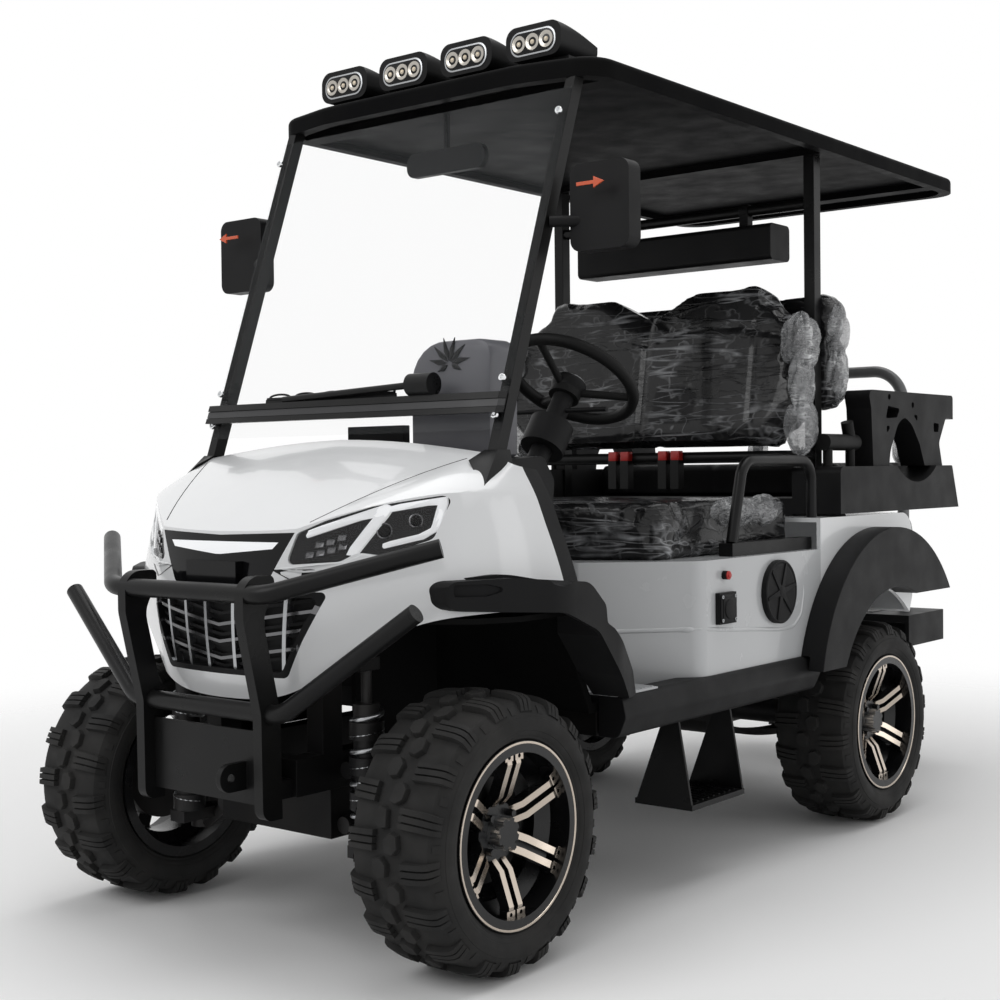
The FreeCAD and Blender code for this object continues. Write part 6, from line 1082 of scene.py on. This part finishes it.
def windshield_y(z):
    """Where the windshield's rear plane lies at a height."""
    return WINDSHIELD_FOOT_Y + (z - WINDSHIELD_FOOT_Z) * WINDSHIELD_LEAN


def build_hinge_bar():
    """The stepped strip on the windshield's hinge bar, and the wiper's blade with its bridges."""
    form = Form()
    for low, high, ahead, kind in ((1166, 1179, 33.5, 0), (1180, 1196, 32.0, 1), (1197, 1212, 34.5, 0)):
        low_y, high_y = windshield_y(low), windshield_y(high)
        outline = np.array([(low_y - ahead, low), (high_y - ahead, high), (high_y - 6, high),
                            (low_y - 6, low)])
        slab(form, outline, across_x, -476, 476, 1.6, kind)
    make_piece("hinge_strips", form, ["black_metal", "hinge_grey"], 30, "black_metal")
    form = Form()
    y = windshield_y(1228) - 15
    edge = np.array([(y - 3, 1213.0), (y + 3, 1213.0), (y + 1.4, 1222), (y - 1.4, 1222)])
    slab(form, edge, across_x, -290, 150, 0.8)
    back = np.array([(y - 4, 1221.0), (y + 4, 1221.0), (y + 3, 1226), (y - 3, 1226)])
    slab(form, back, across_x, -285, 145, 1.0)
    t = np.linspace(0, math.pi, 12)
    for x in (-240, -150, -60, 30, 110):
        path = np.stack([x + 36 * np.cos(t), np.full(12, y), 1225 + 8 * np.sin(t)], -1)
        carried(form, path, 2.6, 8, (0, 1, 0))
    make_piece("wiper_blade", form, ["black_plastic"], 40, "black_plastic")


def build_gauges():
    """The round gauge pod on the dash with its leafy mark, and the switch block's screen."""
    form = Form()
    hood = rounded_outline([(150, 1070), (388, 1070), (392, 1338), (150, 1338)], (8, 8, 40, 96), 8)
    slab(form, hood, across_y, 214, 318, 10, 0)
    for turn in (10, 42, 74, 106, 138, 170, 205, 335):
        along, across = directions(turn)
        reach = 62 if turn < 180 else 40
        frond = [along * 6, along * reach * 0.4 - across * 6, along * reach, along * reach * 0.5 + across * 8]
        slab(form, np.array(frond) + [272.0, 1285.0], across_y, 211.5, 214.5, 0.6, 1)
    make_piece("gauge_pod", form, ["hood_grey", "gloss_black"], 40, "black_plastic")
    form = Form()
    top = node_box("dashboard")[1][2] - 8
    slab(form, rounded_outline(rectangle(-84, 1084, 84, top), 6), across_y, 272, 277, 1.5, 0)
    make_piece("dash_screen", form, ["screen_dark"], 30, "black_plastic")


def build_steering_pad():
    """The hub pad of the steering wheel with its bright ring, square to the column."""
    axis, centre = (0.0, 0.580703, 0.814116), (250.0, 700.0, 1250.0)
    form = Form()
    turned(form, [(-14, 40), (4, 46), (14, 44), (19, 36), (21, 20), (21.5, 0)], centre, axis, 40, 0)
    turned(form, [(14.5, 43), (17.5, 41.5), (18.5, 38), (17.2, 37)], centre, axis, 40, 1)
    make_piece("steering_pad", form, ["black_plastic", "steel"], 35, "black_plastic", "steering_wheel")


def build_treads():
    """Raised bars across the side steps."""
    form = Form()
    low, high = node_box("side_steps")
    for side_sign in (-1, 1):
        for y in np.linspace(low[1] + 24, high[1] - 24, 9):
            bar = rounded_outline(rectangle(428, y - 4, 566, y + 4) * [side_sign, 1], 3)
            slab(form, bar[::side_sign], across_z, 213.5, 217, 1.0)
    make_piece("step_treads", form, ["black_metal"], 35, "black_metal")


RIDGE_MARKS = ((362, 577, 640), (460, 661, 643), (571, 757, 645), (584, 776, 645), (590.5, 800, 643),
               (591, 860, 637), (591, 1040, 622), (591, 1170, 610), (591, 1240, 612), (591, 1284, 640),
               (590, 1302, 700), (586, 1300, 768))


def build_ledges():
    """The soft ridge in each side of the seat box, and the ribbed pale floor between the box and the cowl."""
    def ridge(form):
        marks = np.array(RIDGE_MARKS)
        t = np.linspace(0, len(marks) - 1, 110)
        path = np.stack([np.interp(t, np.arange(len(marks)), marks[:, k]) for k in range(3)], -1)
        for _ in range(5):
            path[1:-1, 1:] = (path[:-2, 1:] + 2 * path[1:-1, 1:] + path[2:, 1:]) / 4
        carried(form, path, 7.5, 14, SIDEWAYS)

    make_pair("side_ridges", ridge, ["seat_box_grey"], 70, "seat_box_grey")
    form = Form()
    slab(form, rectangle(-604, 392, 604, 560), across_z, 526, 531, 1.5)
    for y in np.arange(410, 556, 14.0):
        slab(form, rectangle(-596, y - 2.5, 596, y + 2.5), across_z, 530, 533, 1.2)
    make_piece("floor_plate", form, ["floor_silver"], 40, "seat_box_grey")


def build_bolts():
    """Screw heads on the windshield's posts."""
    def heads(form):
        lean = math.atan(WINDSHIELD_LEAN)
        for z in (1862, 1242, 1160):
            screw_head(form, (463, windshield_y(z) - 15, z), (0, -math.cos(lean), math.sin(lean)), 9, 7)

    make_pair("post_screws", heads, ["chrome"], 30)


def build_buckles():
    """Red push buttons in the belt buckles."""
    form = Form()
    low, high = node_box("seat_frame")
    for x in (-112, -68, 68, 112):
        flat = rounded_outline(rectangle(-15, -15, 15, 12), 4) + [x, low[1] + 14]
        slab(form, flat, across_z, high[2] - 24, high[2] + 4, 2)
    make_piece("belt_buttons", form, ["red_plastic"], 30, "red_lens")


PLAIN_COPIES = {
    "rear_body": ("pearl_white", 26), "seat_box": ("seat_box_grey", 26, 2.5),
    "dashboard": ("black_plastic", 30, 1.5), "front_flares": ("black_plastic", 26),
    "rear_flares": ("black_plastic", 30, 2.0), "sills": ("black_plastic", 30, 2.0),
    "floor_pan": ("inner_black", 30, 1.5), "arch_liners": ("inner_black",),
    "brush_guard": ("black_metal", 32), "guard_plate": ("black_metal", 30, 1.0), "roof": ("roof_black", 26),
    "lamp_bar": ("black_plastic", 26), "windshield_frame": ("black_metal",),
    "rear_posts": ("black_metal", 30, 1.2), "sound_bar": ("black_plastic", 30, 2.5),
    "mirrors": ("black_plastic", 26), "seat_frame": ("black_metal",), "hip_restraints": ("black_metal",),
    "rear_seat_base": ("black_plastic", 30, 2.0), "rear_armrests": ("black_plastic", 30, 1.5),
    "rear_handrails": ("grip_black",), "footrest": ("black_plastic", 30, 1.5), "grab_bar": ("grey_tube",),
    "side_steps": ("black_metal", 30, 1.0), "steering_wheel": ("grip_black", 50),
    "steering_column": ("black_plastic",), "knuckle_left": ("running_gear",),
    "knuckle_right": ("running_gear",), "front_arms": ("running_gear",),
    "front_coilovers": ("running_gear",), "rear_axle": ("running_gear",), "rear_springs": ("running_gear",),
    "frame_rails": ("frame_black", 30, 1.5), "tail_lamps": ("red_lens", 30, 3.0),
    "side_fittings": ("black_plastic",), "wiper": ("black_metal",), "pedals": ("black_metal", 30, 1.0),
    "tie_rod": ("running_gear",), "steering_rack": ("running_gear",),
}


def build_moulded_parts():
    """Copies of the plain nodes, each with its finish, the angle of its creases and its edges' softness."""
    for node, (material, *edges) in PLAIN_COPIES.items():
        finished_copy(node, [material], *edges)


# Stage

CAMERA_PLACE = (2.5577, -3.6248, 1.0403)
CAMERA_AZIMUTH = math.radians(38.8244)
CAMERA_PITCH = math.radians(-1.1184)
CAMERA_ROLL = math.radians(-0.6384)
CAMERA_LENS = 55.11


def camera_axes():
    """Right, up and back of the camera, from its azimuth, pitch and roll."""
    a, e, r = CAMERA_AZIMUTH, CAMERA_PITCH, CAMERA_ROLL
    ahead = np.array([-math.sin(a) * math.cos(e), math.cos(a) * math.cos(e), math.sin(e)])
    right = unit(np.cross(ahead, (0, 0, 1)))
    up = np.cross(right, ahead)
    return (right * math.cos(r) + up * math.sin(r), up * math.cos(r) - right * math.sin(r), -ahead)


def area_light(name, stand, look_at, size, power):
    """A soft square light that looks at a point."""
    data = bpy.data.lights.new(name, "AREA")
    data.size = size
    data.energy = power
    lamp = bpy.data.objects.new(name, data)
    bpy.context.collection.objects.link(lamp)
    lamp.location = stand
    ahead = mathutils.Vector(look_at) - mathutils.Vector(stand)
    lamp.rotation_euler = ahead.to_track_quat("-Z", "Y").to_euler()


def white_surround(strength):
    """A world of soft light at a set strength that shows plain white to the camera, gloss and clear parts."""
    world = bpy.data.worlds.new("surround")
    world.use_nodes = True
    tree = world.node_tree
    paths = add_node(tree, "LightPath").outputs
    seen = combine(tree, "MAXIMUM", paths["Is Camera Ray"], paths["Is Glossy Ray"])
    seen = combine(tree, "MAXIMUM", seen, paths["Is Transmission Ray"])
    level = remap(tree, seen, wanted=(strength, 1.0))
    set_inputs(tree, tree.nodes["Background"], {"Color": (1.0, 1.0, 1.0, 1.0), "Strength": level})
    bpy.context.scene.world = world


def build_floor():
    """A round pale floor that fades into the surround away from the cart."""
    rings, sides, width = 24, 64, 14
    radius = np.linspace(0, width, rings)[:, None]
    a = np.linspace(0, 2 * math.pi, sides, endpoint=False)[None]
    points = np.stack([radius * np.cos(a), radius * np.sin(a), np.zeros((rings, sides))], -1).reshape(-1, 3)
    mesh = bpy.data.meshes.new("floor")
    mesh.from_pydata(points.tolist(), [], grid_quads(rings, sides, True))
    merge_mesh(mesh, False)
    floor = bpy.data.objects.new("floor", mesh)
    bpy.context.collection.objects.link(floor)
    material, tree, shader = new_material("pale_floor")
    away = add_node(tree, "VectorMath", {0: in_object(tree)}, operation="LENGTH").outputs["Value"]
    fade = remap(tree, away, (1.6, 4.2), (1.0, 0.0), interpolation_type="SMOOTHSTEP")
    set_inputs(tree, shader, {"Base Color": opaque((0.97, 0.97, 0.97)), "Roughness": 0.9,
                              "Specular IOR Level": 0.1, "Alpha": fade})
    floor.data.materials.append(material)


def build_stage():
    """The camera of the photograph, soft lamps, a pale floor and a white surround."""
    data = bpy.data.cameras.new("camera")
    data.lens = CAMERA_LENS
    data.sensor_width = 36.0
    camera = bpy.data.objects.new("camera", data)
    bpy.context.collection.objects.link(camera)
    matrix = mathutils.Matrix(np.column_stack(camera_axes()).tolist()).to_4x4()
    matrix.translation = CAMERA_PLACE
    camera.matrix_world = matrix
    scene = bpy.context.scene
    scene.camera = camera
    scene.view_settings.view_transform = "Standard"
    light = scene.cart_light
    area_light("key", (-1.2, -5.6, 4.6), (0, -0.4, 0.9), 3.0, light.key_power)
    area_light("top", (0.2, 0.4, 6.0), (0, 0, 0.8), 5.0, light.top_power)
    area_light("side", (6.0, 1.4, 2.2), (0, 0.2, 0.8), 3.5, light.side_power)
    white_surround(light.surround)
    build_floor()


# Add-on

def colour_property(name, description, default):
    return bpy.props.FloatVectorProperty(name=name, description=description, default=default,
                                         subtype="COLOR", size=3, min=0, max=1)


def power_property(name, description, default):
    return bpy.props.FloatProperty(name=name, description=description, default=default, min=0.0, unit="POWER")


class CartPaint(bpy.types.PropertyGroup):
    body_white: colour_property("Body", "Colour of the painted body", (0.80, 0.81, 0.82))
    # The seat box's default colour is the body's white made darker: painted shade.
    seat_box_shaded_white: colour_property("Seat box", "Colour of the seat box panels", (0.52, 0.53, 0.54))
    rim_colour: colour_property("Rims", "Colour of the bright rim faces", (0.62, 0.54, 0.46))


class CartLight(bpy.types.PropertyGroup):
    key_power: power_property("Key lamp", "Power of the lamp ahead of the cart", 100.0)
    top_power: power_property("Top lamp", "Power of the lamp over the cart", 170.0)
    side_power: power_property("Side lamp", "Power of the lamp beside the cart", 42.0)
    surround: bpy.props.FloatProperty(name="Surround", description="Strength of the soft light all round",
                                      default=0.42, min=0.0, max=2.0, subtype="FACTOR")


class CART_OT_stage(bpy.types.Operator):
    """Places the camera, the lamps, the floor and the surround"""
    bl_idname = "cart.stage"
    bl_label = "Stage"

    def execute(self, context):
        build_stage()
        return {"FINISHED"}


class CART_OT_materials(bpy.types.Operator):
    """Makes every finish and gives the frame's nodes theirs"""
    bl_idname = "cart.materials"
    bl_label = "Finishes"

    def execute(self, context):
        make_materials()
        paint_nodes()
        return {"FINISHED"}


class CART_OT_moulded_parts(bpy.types.Operator):
    """Smooths and softens the moulded, bent and welded parts"""
    bl_idname = "cart.moulded_parts"
    bl_label = "Moulded parts"

    def execute(self, context):
        build_moulded_parts()
        return {"FINISHED"}


class CART_OT_nose(bpy.types.Operator):
    """Builds the cowl, the grille and the headlamps"""
    bl_idname = "cart.nose"
    bl_label = "Nose"

    def execute(self, context):
        build_nose()
        return {"FINISHED"}


class CART_OT_wheels(bpy.types.Operator):
    """Builds the four tyres with their tread, and the rims"""
    bl_idname = "cart.wheels"
    bl_label = "Wheels"

    def execute(self, context):
        build_wheels()
        return {"FINISHED"}


class CART_OT_seats(bpy.types.Operator):
    """Builds the four padded seat pieces"""
    bl_idname = "cart.seats"
    bl_label = "Seats"

    def execute(self, context):
        build_seats()
        return {"FINISHED"}


class CART_OT_small_parts(bpy.types.Operator):
    """Builds the film, ledges, springs, lamps, fittings, marks and screws"""
    bl_idname = "cart.small_parts"
    bl_label = "Small parts"

    def execute(self, context):
        build_wraps()
        build_ledges()
        build_cheeks()
        build_hinge_bar()
        build_gauges()
        build_steering_pad()
        build_treads()
        build_coils()
        build_lamp_pods()
        build_side_fittings()
        build_mirror_marks()
        build_bolts()
        build_buckles()
        return {"FINISHED"}


OPERATORS = (CART_OT_stage, CART_OT_materials, CART_OT_moulded_parts, CART_OT_nose, CART_OT_wheels,
             CART_OT_seats, CART_OT_small_parts)


class CART_PT_panel(bpy.types.Panel):
    """Lists the cart's colours, lamps and building steps"""
    bl_idname = "CART_PT_panel"
    bl_label = "Lifted golf cart"
    bl_space_type = "VIEW_3D"
    bl_region_type = "UI"
    bl_category = "Cart"

    def draw(self, context):
        for name in CartPaint.__annotations__:
            self.layout.prop(context.scene.cart_paint, name)
        for name in CartLight.__annotations__:
            self.layout.prop(context.scene.cart_light, name)
        for cls in OPERATORS:
            self.layout.operator(cls.bl_idname)


CLASSES = (CartPaint, CartLight) + OPERATORS + (CART_PT_panel,)


def register():
    for cls in CLASSES:
        bpy.utils.register_class(cls)
    bpy.types.Scene.cart_paint = bpy.props.PointerProperty(type=CartPaint)
    bpy.types.Scene.cart_light = bpy.props.PointerProperty(type=CartLight)


def unregister():
    del bpy.types.Scene.cart_light
    del bpy.types.Scene.cart_paint
    for cls in reversed(CLASSES):
        bpy.utils.unregister_class(cls)


def main():
    """Registers the add-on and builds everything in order."""
    register()
    for cls in OPERATORS:
        category, name = cls.bl_idname.split(".")
        getattr(getattr(bpy.ops, category), name)()


if __name__ == "__main__":
    main()
